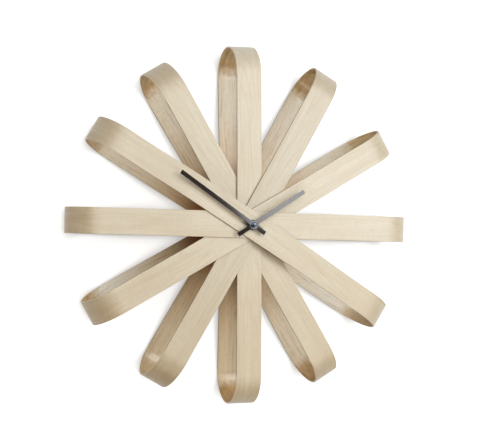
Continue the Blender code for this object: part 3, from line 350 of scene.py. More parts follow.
def lacquered_wood(name, is_strip=True):
    """Pale wood with its grain along x. A strip's mesh says where its grain is. Streaks, smudges
    and pores are stronger on its inner face than on its outer one, and between on other pieces."""
    material, nodes = new_material(name)
    if is_strip:
        place = nodes.attribute("grain", "Vector")
        depth = nodes.split(place)[2]
        inside = nodes.ramp(depth, 0.0010, 0.0014)
    else:
        place = nodes.place()
        inside = 0.5
    wander = nodes.noise(place, (7.0, 30.0, 10.0), 2.0, 0.5)
    sway = nodes.math("MULTIPLY", nodes.math("SUBTRACT", wander, 0.5), 0.014)
    lines = nodes.shifted(place, nodes.add("ShaderNodeCombineXYZ", {1: sway}).outputs[0])
    fine = nodes.noise(lines, (9.0, 620.0, 300.0), 5.0, 0.62, 0.3)
    broad = nodes.noise(lines, (2.6, 95.0, 40.0), 4.0, 0.55, 0.6)
    cloud = nodes.noise(place, (16.0, 34.0, 14.0), 3.0, 0.55)
    ripple = nodes.noise(place, (210.0, 70.0, 60.0), 2.0, 0.5)
    growth = nodes.noise(lines, (2.4, 22.0, 9.0), 1.0, 0.4, 0.5)
    rings = nodes.math("SINE", nodes.math("MULTIPLY", growth, 85.0))
    streak = nodes.noise(lines, (22.0, 520.0, 200.0), 3.0, 0.6, 0.2)
    smudge = nodes.noise(place, (70.0, 210.0, 60.0), 3.0, 0.6)
    fleck = nodes.ramp(nodes.noise(place, (150.0, 1900.0, 500.0), 1.0, 0.5), 0.64, 0.74)
    colour = nodes.blend(nodes.ramp(fine, 0.28, 0.72), DARK_GRAIN, PALE_GRAIN)
    colour = nodes.blend(nodes.ramp(broad, 0.35, 0.68, 0.0, 0.55), colour, PALE_BELT)
    colour = nodes.blend(nodes.ramp(cloud, 0.32, 0.72, 0.0, 0.36), colour, WARM_CLOUD)
    colour = nodes.blend(nodes.ramp(ripple, 0.40, 0.75, 0.0, 0.28), colour, CROSS_RIPPLE)
    colour = nodes.blend(nodes.ramp(rings, 0.35, 1.0, 0.0, 0.26), colour, GROWTH_LINE)
    for amount, on_outer, on_inner, mark in (
            (nodes.ramp(streak, 0.54, 0.70), 0.15, 0.62, BROWN_STREAK),
            (nodes.ramp(smudge, 0.56, 0.72), 0.06, 0.16, SMUDGE),
            (fleck, 0.32, 0.75, PORE)):
        strength = nodes.ramp(inside, 0.0, 1.0, on_outer, on_inner)
        colour = nodes.blend(nodes.math("MULTIPLY", amount, strength), colour, mark)
    rough = nodes.ramp(fine, 0.25, 0.75, 0.44, 0.34)
    if is_strip:
        colour, gloss = bending_marks_and_shade(nodes, place, depth, colour, inside)
        rough = nodes.math("ADD", rough, gloss)
    height = nodes.math("ADD", nodes.math("MULTIPLY", fine, 0.7),
                        nodes.math("MULTIPLY", fleck, -0.5))
    nodes.shader(Base_Color=colour, Roughness=rough, Normal=nodes.bump(height, 0.15, 0.00008))
    return material


def metal(name, colour, roughness, metallic=1.0, brushed=(900.0, 60.0, 900.0), depth=0.00002,
          variation=0.12):
    """Metal or paint with a fine brushed or cast surface."""
    material, nodes = new_material(name)
    place = nodes.place()
    fine = nodes.noise(place, brushed, 4.0, 0.6)
    cloud = nodes.noise(place, (90.0, 90.0, 90.0), 3.0, 0.5)
    darker = tuple(part * (1 - variation) for part in colour)
    nodes.shader(Base_Color=nodes.blend(nodes.ramp(cloud, 0.35, 0.65), darker, colour),
                 Roughness=nodes.ramp(fine, 0.3, 0.7, roughness * 0.85, min(1.0, roughness * 1.2)),
                 Metallic=metallic, Normal=nodes.bump(fine, 0.12, depth))
    return material


def hand_lacquer():
    """Black lacquer over the hands, with the turned boss round the axis left bright."""
    material, nodes = new_material("black_lacquer")
    fine = nodes.noise(nodes.place(), (300.0, 300.0, 300.0), 4.0, 0.6)
    bright = nodes.ramp(hub_reach(nodes), BOSS_RADIUS - 0.0002, BOSS_RADIUS - 0.0001, 1.0, 0.0)
    patch = nodes.ramp(fine, 0.35, 0.65)
    black = nodes.blend(patch, (0.017, 0.010, 0.007), (0.021, 0.013, 0.009))
    turned_metal = nodes.blend(patch, (0.19, 0.185, 0.20), (0.22, 0.215, 0.23))
    shader = nodes.shader(Base_Color=nodes.blend(bright, black, turned_metal), Metallic=bright,
                          Roughness=nodes.ramp(bright, 0.0, 1.0, 0.095, 0.34),
                          Normal=nodes.bump(fine, 0.12, 0.000001))
    shader.inputs["Specular IOR Level"].default_value = 0.80
    return material


def moulded(name, colour, roughness):
    """Moulded plastic or rubber with a fine spark texture."""
    return metal(name, colour, roughness, metallic=0.0, brushed=(2600.0, 2600.0, 2600.0),
                 depth=0.00003, variation=0.08)


MATERIALS = {
    "pale_wood": lacquered_wood("ring_wood", is_strip=False),
    "steel": metal("plated_steel", (0.56, 0.57, 0.58), 0.32),
    "black_plastic": moulded("black_moulding", (0.022, 0.022, 0.024), 0.48),
    "brass": metal("turned_brass", (0.70, 0.50, 0.23), 0.28),
    "black_rubber": moulded("rubber", (0.028, 0.028, 0.028), 0.8),
    "dark_steel": metal("dark_plated_steel", (0.10, 0.11, 0.13), 0.35),
    "dark_aluminium": hand_lacquer(),
    "white_plastic": moulded("white_moulding", (0.82, 0.82, 0.79), 0.4),
    "bonded_magnet": moulded("magnet", (0.05, 0.05, 0.055), 0.6),
    "copper": metal("enamelled_copper", (0.70, 0.27, 0.12), 0.3, brushed=(120.0, 4000.0, 4000.0)),
    "circuit_green": moulded("solder_mask", (0.035, 0.19, 0.085), 0.35),
    "battery_jacket": metal("printed_sleeve", (0.09, 0.10, 0.12), 0.3, metallic=0.3),
    "blue_steel": metal("blue_polish", (0.085, 0.11, 0.15), 0.19, brushed=(200.0, 200.0, 200.0),
                        depth=0.000002, variation=0.05),
}


def dress_nodes():
    """Give every CAD node its own finish; the detailed pieces then stand for some of them."""
    for entry in frame["record"]["subparts"]:
        for slot in frame["nodes"][entry["node"]].material_slots:
            slot.material = MATERIALS[entry["material_slot"]]


# Pieces
def place_piece(name, shape, finish, body, node, smooth=math.radians(35)):
    """Turn a shape in the frame's coordinates into a piece that stands for a CAD node."""
    bmesh.ops.recalc_face_normals(shape, faces=shape.faces)
    mesh = bpy.data.meshes.new(name)
    shape.to_mesh(mesh)
    shape.free()
    mesh.shade_smooth()
    mesh.set_sharp_from_angle(angle=smooth)
    mesh.materials.append(finish)
    piece = bpy.data.objects.new(name, mesh)
    bpy.context.scene.collection.objects.link(piece)
    flatten_shading(piece)
    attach(piece, body)
    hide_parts(node)


def flatten_shading(piece):
    """Keep large flat faces flat next to their eased edges."""
    piece.modifiers.new("weighted", "WEIGHTED_NORMAL").keep_sharp = True
    graph = bpy.context.evaluated_depsgraph_get()
    weighted = bpy.data.meshes.new_from_object(piece.evaluated_get(graph))
    piece.modifiers.clear()
    plain = piece.data
    piece.data = weighted
    weighted.name = piece.name
    bpy.data.meshes.remove(plain)


def turned(profile, sides, centre=(0.0, 0.0)):
    """A closed (radius, height) outline turned about the face's z at a centre."""
    shape = bmesh.new()
    points = [shape.verts.new((radius, 0, height)) for radius, height in profile]
    edges = [shape.edges.new(pair) for pair in zip(points, points[1:] + points[:1])
             if pair[0].co.x > 0 or pair[1].co.x > 0]
    bmesh.ops.spin(shape, geom=points + edges, cent=(0, 0, 0), axis=(0, 0, 1),
                   angle=math.tau, steps=sides, use_merge=True)
    bmesh.ops.remove_doubles(shape, verts=shape.verts, dist=0.000001)
    bmesh.ops.translate(shape, verts=shape.verts, vec=(*centre, 0))
    return shape


def rounded_profile(inner, outer, back, front, radius):
    """A ring's section with its four corners rounded."""
    steps = 4
    points = []
    corners = [(inner + radius, back + radius, 2), (outer - radius, back + radius, 3),
               (outer - radius, front - radius, 0), (inner + radius, front - radius, 1)]
    for x, y, quarter in corners:
        for step in range(steps + 1):
            across, up = polar(radius, math.pi / 2 * (quarter + step / steps))
            points.append((x + across, y + up))
    return points


def merged(shapes):
    """One bmesh that holds several."""
    whole = bmesh.new()
    for shape in shapes:
        part = bpy.data.meshes.new("merging")
        shape.to_mesh(part)
        shape.free()
        whole.from_mesh(part)
        bpy.data.meshes.remove(part)
    return whole


def with_operation(shape, cutter, operation="DIFFERENCE"):
    """Combine one bmesh with another by an exact Boolean."""
    items = []
    for part in (shape, cutter):
        mesh = bpy.data.meshes.new("operand")
        bmesh.ops.recalc_face_normals(part, faces=part.faces)
        part.to_mesh(mesh)
        part.free()
        item = bpy.data.objects.new("operand", mesh)
        bpy.context.scene.collection.objects.link(item)
        items.append(item)
    step = items[0].modifiers.new("cut", "BOOLEAN")
    step.operation = operation
    step.solver = "EXACT"
    step.object = items[1]
    graph = bpy.context.evaluated_depsgraph_get()
    result = bmesh.new()
    result.from_mesh(bpy.data.meshes.new_from_object(items[0].evaluated_get(graph)))
    for item in items:
        bpy.data.objects.remove(item, do_unlink=True)
    return result


def rod(radius, back, front, centre=(0.0, 0.0), sides=48):
    """A cylinder along the face's z."""
    return turned([(0, back), (radius, back), (radius, front), (0, front)], sides, centre)


def raised(outline, back, front):
    """A prism: a flat outline carried from one height to another."""
    shape = bmesh.new()
    base = shape.faces.new([shape.verts.new((x, y, back)) for x, y in outline])
    top = bmesh.ops.extrude_face_region(shape, geom=[base])["geom"]
    corners = [part for part in top if isinstance(part, bmesh.types.BMVert)]
    bmesh.ops.translate(shape, verts=corners, vec=(0, 0, front - back))
    return shape


def on_face(low, high):
    """Where a box of the frame's lies on the face: its centre, its back and its front."""
    centre = ((low.x + high.x) / 2, HUB_DROP + (low.z + high.z) / 2)
    return centre, -high.y, -low.y


def to_frame(shape, turn=0.0):
    """Turn a shape about the hub, then carry it from the face into the frame's coordinates."""
    bmesh.ops.transform(shape, matrix=FACE @ Matrix.Rotation(turn, 4, "Z"), verts=shape.verts)
    return shape


def polar(radius, angle):
    return radius * math.cos(angle), radius * math.sin(angle)


# Bands
def band_angle(layer):
    """The angle of a strip's first end, clockwise from 12 o'clock."""
    return FOREMOST_BAND_ANGLE - layer * BAND_STEP


def side_steps(layer):
    """The angles from a strip to its neighbours clockwise and counterclockwise."""
    clockwise = CLOSING_STEP if layer == 0 else BAND_STEP
    counter = CLOSING_STEP if layer == BAND_COUNT - 1 else BAND_STEP
    return clockwise, counter


def mitre_start(step):
    """The reach within which a rear strip narrows to clear its neighbour."""
    return (BAND_WIDTH / 2 + FIT_GAP / 2 / math.cos(step / 2)) / math.tan(step / 2)


def tip_half_width(reach, step):
    """How wide a rear strip is on one side of its middle."""
    return min(BAND_WIDTH / 2, reach * math.tan(step / 2) - FIT_GAP / 2 / math.cos(step / 2))


def front_station(layer, reach, flat_reach, end_reach):
    """Flat at the hub, then easing down to the depth that all loops share."""
    drop = STACK_FRONT - layer * LAYER_PITCH - LOOP_DEPTH
    share = max(0.0, (reach - flat_reach) / (end_reach - flat_reach))
    height = LOOP_DEPTH + drop * (1 + math.cos(math.pi * share)) / 2
    slope = -drop * math.pi * math.sin(math.pi * share) / 2 / (end_reach - flat_reach)
    return reach, height, math.pi / 2 + math.atan(slope)


def half_band(layer):
    """Stations on the outer face from hub to rear tip: reach, height and the normal's angle."""
    centre_height = LOOP_DEPTH / 2
    centre_reach = CLOCK_DIAMETER / 2 - centre_height
    flat_reach = mitre_start(TIGHTEST_STEP) + FLAT_MARGIN
    stations = [front_station(layer, reach, flat_reach, centre_reach) for reach in HUB_REACHES]
    run = (centre_reach - flat_reach) / EASE_STEPS
    stations += [front_station(layer, flat_reach + run * step, flat_reach, centre_reach)
                 for step in range(EASE_STEPS)]
    slope_run = centre_reach - REAR_RING_RADIUS
    slope_rise = centre_height - TIP_HEIGHT
    slope = (math.atan2(slope_rise, slope_run)
             - math.asin(centre_height / math.hypot(slope_run, slope_rise)))
    sweep = math.pi - slope
    for step in range(BEND_STEPS + 1):
        normal = math.pi / 2 - sweep * step / BEND_STEPS
        stations.append((centre_reach + centre_height * math.cos(normal),
                         centre_height + centre_height * math.sin(normal), normal))
    reaches = {mitre_start(step) for step in side_steps(layer)}
    reaches |= REAR_REACHES
    reaches |= {REAR_RUN_FROM + REAR_RUN_STEP * step for step in range(REAR_RUN_STEPS)}
    for reach in sorted(reaches, reverse=True):
        leaning = (reach > REAR_RING_RADIUS) + (reach >= REAR_RING_RADIUS)
        height = TIP_HEIGHT + max(0.0, reach - REAR_RING_RADIUS) * math.tan(slope)
        stations.append((reach, height, slope * leaning / 2 - math.pi / 2))
    return stations


def rounded_corner(centre_y, centre_depth, start):
    """A quarter turn of the strip's edge from an angle in degrees."""
    arc = [polar(EDGE_RADIUS, math.radians(start + 90 * step / EDGE_STEPS))
           for step in range(EDGE_STEPS + 1)]
    return [(centre_y + across, centre_depth + down) for across, down in arc]


def section(upper, lower):
    """(across, depth) points round the strip's section, with rounded edges."""
    faces = [-lower + EDGE_LOOP, -lower / 3, upper / 3, upper - EDGE_LOOP]
    deep = BAND_THICKNESS - EDGE_RADIUS
    points = [(y, 0.0) for y in faces]
    points += rounded_corner(upper - EDGE_RADIUS, EDGE_RADIUS, -90)
    points += rounded_corner(upper - EDGE_RADIUS, deep, 0)
    points += [(y, BAND_THICKNESS) for y in reversed(faces)]
    points += rounded_corner(EDGE_RADIUS - lower, deep, 90)
    points += rounded_corner(EDGE_RADIUS - lower, EDGE_RADIUS, 180)
    return points


def inner_painted_light(end, layer, along_bend, along_rear):
    """The inner face's painted light and shade at a share of the bend's length and a share of the
    rear run's.
    """
    pale, pale_tip, coolness, cool_tip = INNER_PAINTED_LIGHT[end][layer]
    late = min(1.0, max(0.0, 1 - (1 - along_bend) / BEND_FADE))
    shade = 1 + (pale - 1) * late + (pale_tip - pale) * along_rear
    cool = coolness * late + (cool_tip - coolness) * along_rear
    return shade, shade * (1 + 0.35 * cool), shade * (1 + cool)


def band_shape(layer):
    """One strip. Its points hold its grain, its tone and stain with painted light and shade, and
    how far into a bend they are.
    """
    half = half_band(layer)
    bend_index = len(HUB_REACHES) + EASE_STEPS
    rear_index = bend_index + BEND_STEPS
    lengths = [0.0]
    for before, after in zip(half, half[1:]):
        lengths.append(lengths[-1] + math.hypot(after[0] - before[0], after[1] - before[1]))
    bend_from = lengths[bend_index]
    bend_to = lengths[rear_index]
    whole = [(-1, index) for index in range(len(half) - 1, 0, -1)]
    whole += [(1, index) for index in range(len(half))]
    clockwise, counter = side_steps(layer)
    shape = bmesh.new()
    grain = shape.verts.layers.float_vector.new("grain")
    bend = shape.verts.layers.float.new("bend")
    tone = shape.verts.layers.float_vector.new("tone")
    stain_and_shade = shape.verts.layers.float.new("stain_and_shade")
    rings = []
    for end, index in whole:
        reach, height, normal = half[index]
        length = lengths[index]
        upper_step, lower_step = (counter, clockwise) if end > 0 else (clockwise, counter)
        is_rear = index >= rear_index
        upper = tip_half_width(reach, upper_step) if is_rear else BAND_WIDTH / 2
        lower = tip_half_width(reach, lower_step) if is_rear else BAND_WIDTH / 2
        inner = inner_painted_light(end, layer, (length - bend_from) / (bend_to - bend_from),
                           max(0.0, (length - bend_to) / (lengths[-1] - bend_to)))
        ring = []
        for across, depth in section(upper, lower):
            x = min(reach - depth * math.cos(normal), REACH_LIMIT)
            corner = shape.verts.new((end * x, across, height - depth * math.sin(normal)))
            corner[grain] = (end * length + layer * GRAIN_SHIFT_ALONG,
                             across + layer * GRAIN_SHIFT_ACROSS, depth)
            corner[bend] = min(length - bend_from, bend_to - length)
            is_outer = depth < BAND_THICKNESS / 2
            # Outer faces keep the strip's own tone; inner faces take painted light and shade
            corner[tone] = (BAND_TONES[layer],) * 3 if is_outer else inner
            corner[stain_and_shade] = (OUTER_STAIN_AND_SHADE if is_outer else INNER_STAIN_AND_SHADE)[end][layer]
            ring.append(corner)
        rings.append(ring)
    count = len(rings[0])
    for ring, after in zip(rings, rings[1:]):
        for corner in range(count):
            beside = (corner + 1) % count
            shape.faces.new((ring[corner], ring[beside], after[beside], after[corner]))
    shape.faces.new(rings[0])
    shape.faces.new(rings[-1])
    return shape


def make_bands():
    wood = lacquered_wood("band_wood")
    clamp_front = INNER_RING_BACK + RING_THICKNESS
    for layer, name in enumerate(BAND_NAMES):
        cutters = [rod(STACK_BORE_RADIUS, STACK_BACK - CUT_SLACK, STACK_FRONT + CUT_SLACK)]
        cutters += [rod(CLAMP_BORE_RADIUS, TIP_HEIGHT - CUT_SLACK, clamp_front,
                        (end * CLAMP_CIRCLE, 0), sides=16) for end in (-1, 1)]
        shape = with_operation(band_shape(layer), merged(cutters))
        to_frame(shape, math.pi / 2 - band_angle(layer))
        place_piece(f"bent_{name}", shape, wood, "clock", name,
                    smooth=math.radians(50))


# Hub, hands and back
def make_rings():
    clamps = []
    for layer in range(BAND_COUNT):
        turn = math.pi / 2 - band_angle(layer)
        clamps += [polar(end * CLAMP_CIRCLE, turn) for end in (-1, 1)]
    for name, outer, back in (("rear_ring", REAR_RING_RADIUS, REAR_RING_BACK),
                              ("inner_ring", INNER_RING_RADIUS, INNER_RING_BACK)):
        front = back + RING_THICKNESS
        profile = rounded_profile(HUB_HOLE_RADIUS, outer, back, front, RING_EDGE)
        ring = turned(profile, sides=144)
        holes = [rod(CLAMP_BORE_RADIUS, back - CUT_SLACK, front + CUT_SLACK, point, sides=16)
                 for point in clamps]
        if name == "rear_ring":
            screws = [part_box(f"hanger_screw_{side}") for side in ("left", "right")]
            holes += [rod(HANGER_BORE_RADIUS, back - CUT_SLACK, front + CUT_SLACK,
                          on_face(low, high)[0], sides=16) for low, high in screws]
        shape = to_frame(with_operation(ring, merged(holes)))
        place_piece(f"turned_{name}", shape, MATERIALS["pale_wood"], "clock", name)


def pan_screw(low, high, head_height, shank_radius):
    """A pan head with a cross recess, between a screw node's corners; its head is at the back."""
    centre, back, front = on_face(low, high)
    radius = (high.x - low.x) / 2
    neck = back + head_height
    middle = 0.35
    dome_height = head_height * 0.7
    profile = [(0, back)]
    steps = 6
    for step in range(steps + 1):
        up, across = polar(1.0, math.pi / 2 * step / steps)
        profile.append((radius * (middle + (1 - middle) * across), back + dome_height * (1 - up)))
    profile += [(radius, neck), (shank_radius, neck), (shank_radius, front), (0, front)]
    screw = turned(profile, sides=40, centre=centre)
    recess_depth = head_height * 0.9
    arm = radius * 0.52
    half = radius * 0.13
    bars = []
    for x_half, y_half in ((arm, half), (half, arm)):
        bar = bmesh.new()
        bmesh.ops.create_cube(bar, size=1.0)
        bmesh.ops.scale(bar, vec=(2 * x_half, 2 * y_half, recess_depth), verts=bar.verts)
        bmesh.ops.translate(bar, vec=(*centre, back), verts=bar.verts)
        bars.append(bar)
    return to_frame(with_operation(screw, with_operation(*bars, "UNION")))


def make_screws():
    # Each screw's name, its head's height and its shank's radius
    groups = [(f"clamp_screw_{n:02d}", 0.0016, 0.0012) for n in range(1, 13)]
    groups += [(f"hanger_screw_{side}", 0.0012, 0.0010) for side in ("left", "right")]
    groups += [(f"case_screw_{n}", 0.0009, 0.0008) for n in range(1, 5)]
    for name, head, shank in groups:
        shape = pan_screw(*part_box(name), head, shank)
        place_piece(f"cross_{name}", shape, MATERIALS["steel"], "clock", name)


def softened(node, width, finish, body):
    """The CAD node's own shape with its sharp edges eased."""
    shape = bmesh.new()
    shape.from_mesh(frame["nodes"][node].data)
    bmesh.ops.remove_doubles(shape, verts=shape.verts, dist=0.000002)
    bmesh.ops.dissolve_limit(shape, angle_limit=math.radians(1), verts=shape.verts,
                             edges=shape.edges)
    sharp = [edge for edge in shape.edges if len(edge.link_faces) == 2
             and edge.calc_face_angle() > math.radians(40)]
    bmesh.ops.bevel(shape, geom=sharp, offset=width, segments=2, profile=0.5, affect="EDGES",
                    clamp_overlap=True)
    place_piece(f"eased_{node}", shape, finish, body, node)


def hand_outline(length, tail):
    """The bar's corners and the boss's curves, with 12 o'clock at +y."""
    steps = 40
    side = HAND_HALF_WIDTH
    meeting = math.acos(side / BOSS_RADIUS)
    sweep = 2 * meeting / steps
    right = [polar(BOSS_RADIUS, sweep * step - meeting) for step in range(steps + 1)]
    left = [(-x, y) for x, y in reversed(right)]
    return [(side, -tail)] + right + [(side, length), (-side, length)] + left + [(-side, -tail)]


def make_hand(name, body, angle, length, tail, bore):
    """The flat bar with its boss and its collet, the bar's and the boss's edges eased."""
    _, collet_back, front = on_face(*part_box(name))
    back = front - HAND_THICKNESS
    shape = raised(hand_outline(length, tail), back, front)
    bmesh.ops.recalc_face_normals(shape, faces=shape.faces)
    rim = [edge for edge in shape.edges if edge.calc_face_angle() > math.radians(60)
           and abs(edge.verts[0].co.z - edge.verts[1].co.z) < 0.00001]
    bmesh.ops.bevel(shape, geom=rim, offset=0.00010, segments=2, profile=0.5, affect="EDGES")
    for reach in (TAIL_BEND, TAIL_BEND + TAIL_BEND_LENGTH):
        bmesh.ops.bisect_plane(shape, geom=shape.verts[:] + shape.edges[:] + shape.faces[:],
                               dist=1e-7, plane_co=(0, -reach, 0), plane_no=(0, 1, 0))
    for corner in shape.verts:
        corner.co.z -= TAIL_LEAN * max(0.0, -corner.co.y - TAIL_BEND)
    shape = with_operation(shape, rod(COLLET_RADIUS, collet_back, back + 0.0003), "UNION")
    shape = with_operation(shape, rod(bore, collet_back - CUT_SLACK, front + CUT_SLACK))
    to_frame(shape, -angle)
    place_piece(f"lacquered_{name}", shape, MATERIALS["dark_aluminium"], body,
                name)


def make_cap():
    low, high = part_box("axis_cap")
    _, back, front = on_face(low, high)
    radius = (high.x - low.x) / 2
    rise = front - back
    shoulder = 0.70
    bore = 0.0018
    floor = back + rise / 2 + FIT_GAP
    profile = [(bore, back), (radius - 0.0002, back), (radius, back + 0.0002),
               (radius, back + rise * shoulder)]
    steps = 14
    for step in range(1, steps + 1):
        across, up = polar(1.0, math.pi / 2 * step / steps)
        profile.append((radius * across, back + rise * (shoulder + (1 - shoulder) * up)))
    profile += [(0, floor), (bore, floor)]
    shape = to_frame(turned(profile, sides=64))
    place_piece("domed_cap", shape, MATERIALS["blue_steel"], "minute", "axis_cap")


def make_nut_and_washer():
    low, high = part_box("hex_nut")
    _, back, front = on_face(low, high)
    flats = (high.z - low.z) / 2
    corner = flats / math.cos(math.pi / 6)
    hexagon = raised([polar(corner, math.tau * step / 6) for step in range(6)], back, front)
    bore = STACK_BORE_RADIUS
    chamfer = [(bore, back), (corner, back), (corner, front - (corner - flats) * 0.6),
               (flats, front), (bore + 0.0003, front), (bore, front - 0.0003)]
    shape = to_frame(with_operation(hexagon, turned(chamfer, sides=72), "INTERSECT"))
    place_piece("chamfered_hex_nut", shape, MATERIALS["dark_steel"], "clock",
                "hex_nut")
    low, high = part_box("flat_washer")
    _, back, front = on_face(low, high)
    profile = rounded_profile(bore, (high.x - low.x) / 2, back, front, 0.00015)
    shape = turned(profile, sides=72)
    place_piece("rounded_flat_washer", to_frame(shape), MATERIALS["dark_steel"], "clock",
                "flat_washer")


def make_knob():
    """The fluted thumb wheel with its raised rim and sunk middle, and its stem in the case."""
    low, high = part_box("setting_knob")
    centre, back, front = on_face(low, high)
    thick = 0.0025
    radius = (high.x - low.x) / 2 - 0.0003
    stem = 0.0012
    pivot = 0.0005
    pivot_from = front - 0.0052
    profile = [(0, back + 0.0009), (radius * 0.62, back + 0.0009), (radius * 0.70, back + 0.0002),
               (radius * 0.74, back), (radius * 0.93, back), (radius, back + 0.0004),
               (radius, back + thick - 0.0004), (radius * 0.95, back + thick),
               (stem, back + thick), (stem, pivot_from), (pivot, pivot_from), (pivot, front),
               (0, front)]
    shape = turned(profile, sides=96, centre=centre)
    flute_count = 32
    flute_radius = 0.00045
    flutes = []
    for flute in range(flute_count):
        x, y = polar(radius + 0.00025, math.tau * flute / flute_count)
        flutes.append(rod(flute_radius, back - CUT_SLACK, back + thick + CUT_SLACK,
                          (centre[0] + x, centre[1] + y), sides=10))
    shape = with_operation(shape, merged(flutes))
    place_piece("fluted_setting_knob", to_frame(shape), MATERIALS["white_plastic"], "knob",
                "setting_knob")


def make_battery():
    """The cell with its crimped ends, sleeve and plus button, lying along x."""
    low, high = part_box("battery")
    radius = (high.z - low.z) / 2
    crimped = radius - 0.0002
    button = 0.0027
    button_rise = 0.0013
    moat = 0.0034
    body = high.x - low.x - button_rise
    profile = [(0, 0), (radius * 0.62, 0), (radius * 0.66, 0.0004), (radius * 0.90, 0.0004),
               (crimped, 0.0008), (crimped, 0.0016), (radius, 0.0020), (radius, body - 0.0022),
               (crimped, body - 0.0018), (crimped, body - 0.0008), (radius - 0.0010, body),
               (moat, body), (moat, body - 0.0003), (button, body - 0.0003),
               (button, body + button_rise - 0.0003), (button - 0.0003, body + button_rise),
               (0, body + button_rise)]
    shape = turned(profile, sides=72)
    turn = Matrix.Translation((low.x, (low.y + high.y) / 2, (low.z + high.z) / 2))
    bmesh.ops.transform(shape, matrix=turn @ Matrix.Rotation(math.pi / 2, 4, "Y"),
                        verts=shape.verts)
    place_piece("sleeved_battery", shape, battery_finish(low.x, body), "battery",
                "battery")


def battery_finish(start, body):
    """Bare steel ends, a dark sleeve and a copper-coloured band at the plus end."""
    material, nodes = new_material("battery_sleeve")
    place = nodes.place()
    along = nodes.math("SUBTRACT", nodes.split(place)[0], start)
    scuff = nodes.noise(place, (300.0, 300.0, 300.0), 4.0, 0.6)
    worn = nodes.ramp(scuff, 0.4, 0.7)
    sleeve = nodes.blend(worn, (0.045, 0.05, 0.06), (0.07, 0.075, 0.085))
    band = nodes.blend(worn, (0.55, 0.30, 0.14), (0.62, 0.36, 0.18))
    steel = nodes.blend(worn, (0.50, 0.50, 0.50), (0.60, 0.60, 0.60))
    band_from = body * 0.72
    colour = nodes.blend(nodes.ramp(along, band_from, band_from + 0.0002), sleeve, band)
    bare = nodes.math("MAXIMUM", nodes.ramp(along, 0.0017, 0.0018, 1.0, 0.0),
                      nodes.ramp(along, body - 0.0019, body - 0.0018))
    nodes.shader(Base_Color=nodes.blend(bare, colour, steel), Metallic=bare,
                 Roughness=nodes.ramp(scuff, 0.3, 0.7, 0.22, 0.34),
                 Normal=nodes.bump(scuff, 0.1, 0.00002))
    return material


dress_nodes()
make_bands()
make_rings()
make_screws()
make_hand("minute_hand", "minute", MINUTE_HAND_ANGLE, length=0.1295, tail=0.0208, bore=0.0018)
make_hand("hour_hand", "hour", HOUR_HAND_ANGLE, length=0.0903, tail=0.0262, bore=0.0029)
make_cap()
make_nut_and_washer()
make_knob()
make_battery()
for node, width, slot in (("movement_case", 0.0004, "black_plastic"),
                          ("movement_cover", 0.0003, "black_plastic"),
                          ("hanger_strap", 0.00025, "steel")):
    softened(node, width, MATERIALS[slot], "clock")


# Stage: the wall, the lights and the camera
def mirrored_ray(nodes, path):
    """1 where a reflection or a clear part shows something, and 0 elsewhere."""
    return nodes.math("MAXIMUM", path["Is Glossy Ray"], path["Is Transmission Ray"])


def make_wall():
    """A white wall that takes the clock's shadows, with a painted contact shadow near the clock,
    and is clear from behind.
    """
    material, nodes = new_material("wall")
    diffuse = nodes.add("ShaderNodeBsdfDiffuse", {"Color": WALL_GREY})
    path = nodes.add("ShaderNodeLightPath").outputs
    seen = nodes.math("MAXIMUM", path["Is Camera Ray"], mirrored_ray(nodes, path))
    away = nodes.add("ShaderNodeVectorMath", {0: nodes.place()}, operation="LENGTH")
    level = nodes.ramp(away.outputs["Value"], 0.5, 1.6, WALL_NEAR_LEVEL, 1.0)
    near = nodes.add("ShaderNodeAmbientOcclusion", {"Distance": CONTACT_REACH}, samples=12)
    # The glow drops where something is near: a painted contact shadow
    closeness = nodes.math("SUBTRACT", 1.0, near.outputs["AO"])
    painted_contact_shadow = nodes.math("MULTIPLY", closeness, CONTACT_SHADOW_DEPTH)
    level = nodes.math("MAXIMUM", nodes.math("SUBTRACT", level, painted_contact_shadow), 0.0)
    glow = nodes.add("ShaderNodeEmission", {"Color": WHITE,
                                            "Strength": nodes.math("MULTIPLY", seen, level)})
    lit = nodes.add("ShaderNodeAddShader", {0: diffuse.outputs[0], 1: glow.outputs[0]})
    clear = nodes.add("ShaderNodeBsdfTransparent")
    behind = nodes.add("ShaderNodeNewGeometry").outputs["Backfacing"]
    both = nodes.add("ShaderNodeMixShader", {0: behind, 1: lit.outputs[0], 2: clear.outputs[0]})
    nodes.tree.links.new(both.outputs[0], nodes.output.inputs["Surface"])
    shape = bmesh.new()
    side = WALL_HALF_SIDE
    shape.faces.new([shape.verts.new((x, WALL_GAP, z))
                     for x, z in ((-side, -side), (side, -side), (side, side), (-side, side))])
    mesh = bpy.data.meshes.new("wall")
    shape.to_mesh(mesh)
    shape.free()
    mesh.materials.append(material)
    wall = bpy.data.objects.new("wall", mesh)
    bpy.context.scene.collection.objects.link(wall)
    # It neither lights the clock nor keeps light off it
    wall.visible_diffuse = False
    wall.visible_shadow = False


def direction(azimuth, elevation):
    """A direction in front of the clock: azimuth to the right of -Y, elevation up, in degrees."""
    a, e = math.radians(azimuth), math.radians(elevation)
    return Vector((math.sin(a) * math.cos(e), -math.cos(a) * math.cos(e), math.sin(e)))


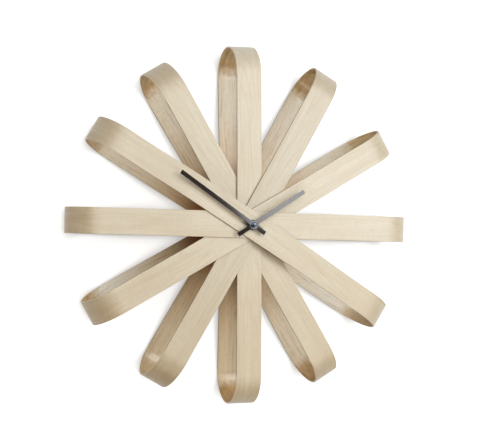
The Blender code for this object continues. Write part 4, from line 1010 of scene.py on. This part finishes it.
def make_light(name, azimuth, elevation, distance, width, height, radiance, colour):
    data = bpy.data.lights.new(name, "AREA")
    data.shape = "RECTANGLE"
    data.size = width
    data.size_y = height
    data.energy = radiance * math.pi * width * height
    data.color = colour
    light = bpy.data.objects.new(name, data)
    bpy.context.scene.collection.objects.link(light)
    away = direction(azimuth, elevation) * distance
    light.location = LAMP_TARGET + away
    light.rotation_euler = away.to_track_quat("Z", "Y").to_euler()


def make_world():
    """A pale room that is dim round the camera's side, so that dark gloss stays dark there."""
    world = bpy.data.worlds.new("studio")
    bpy.context.scene.world = world
    nodes = Nodes(world, "ShaderNodeOutputWorld")
    toward = nodes.add("ShaderNodeTexCoord").outputs["Generated"]
    front = nodes.math("MULTIPLY", nodes.split(toward)[1], -1.0)
    level = nodes.ramp(front, -HORIZON_BLUR, HORIZON_BLUR, ROOM_BEHIND, ROOM_IN_FRONT)
    path = nodes.add("ShaderNodeLightPath").outputs
    behind = nodes.ramp(front, -HORIZON_BLUR, HORIZON_BLUR, 1.0, 0.0)
    mirrored = nodes.math("MULTIPLY", behind, mirrored_ray(nodes, path))
    strength = nodes.math("MAXIMUM", level, nodes.math("MAXIMUM", path["Is Camera Ray"], mirrored))
    room = nodes.add("ShaderNodeBackground", {"Color": WHITE, "Strength": strength})
    nodes.tree.links.new(room.outputs[0], nodes.output.inputs["Surface"])


def make_camera():
    view = (CAMERA_TARGET - CAMERA_PLACE).normalized()
    right = view.cross(Vector((0, 0, 1))).normalized()
    up = right.cross(view)
    rolled_right = right * math.cos(CAMERA_ROLL) + up * math.sin(CAMERA_ROLL)
    rolled_up = up * math.cos(CAMERA_ROLL) - right * math.sin(CAMERA_ROLL)
    turn = Matrix((rolled_right, rolled_up, -view)).transposed()
    data = bpy.data.cameras.new("photo_view")
    data.lens = CAMERA_LENS
    data.sensor_width = 36.0
    camera = bpy.data.objects.new("photo_view", data)
    camera.matrix_world = Matrix.Translation(CAMERA_PLACE) @ turn.to_4x4()
    bpy.context.scene.collection.objects.link(camera)
    bpy.context.scene.camera = camera


make_wall()
for lamp in LAMPS:
    make_light(*lamp)
make_world()
make_camera()
bpy.context.scene.view_settings.view_transform = "Standard"
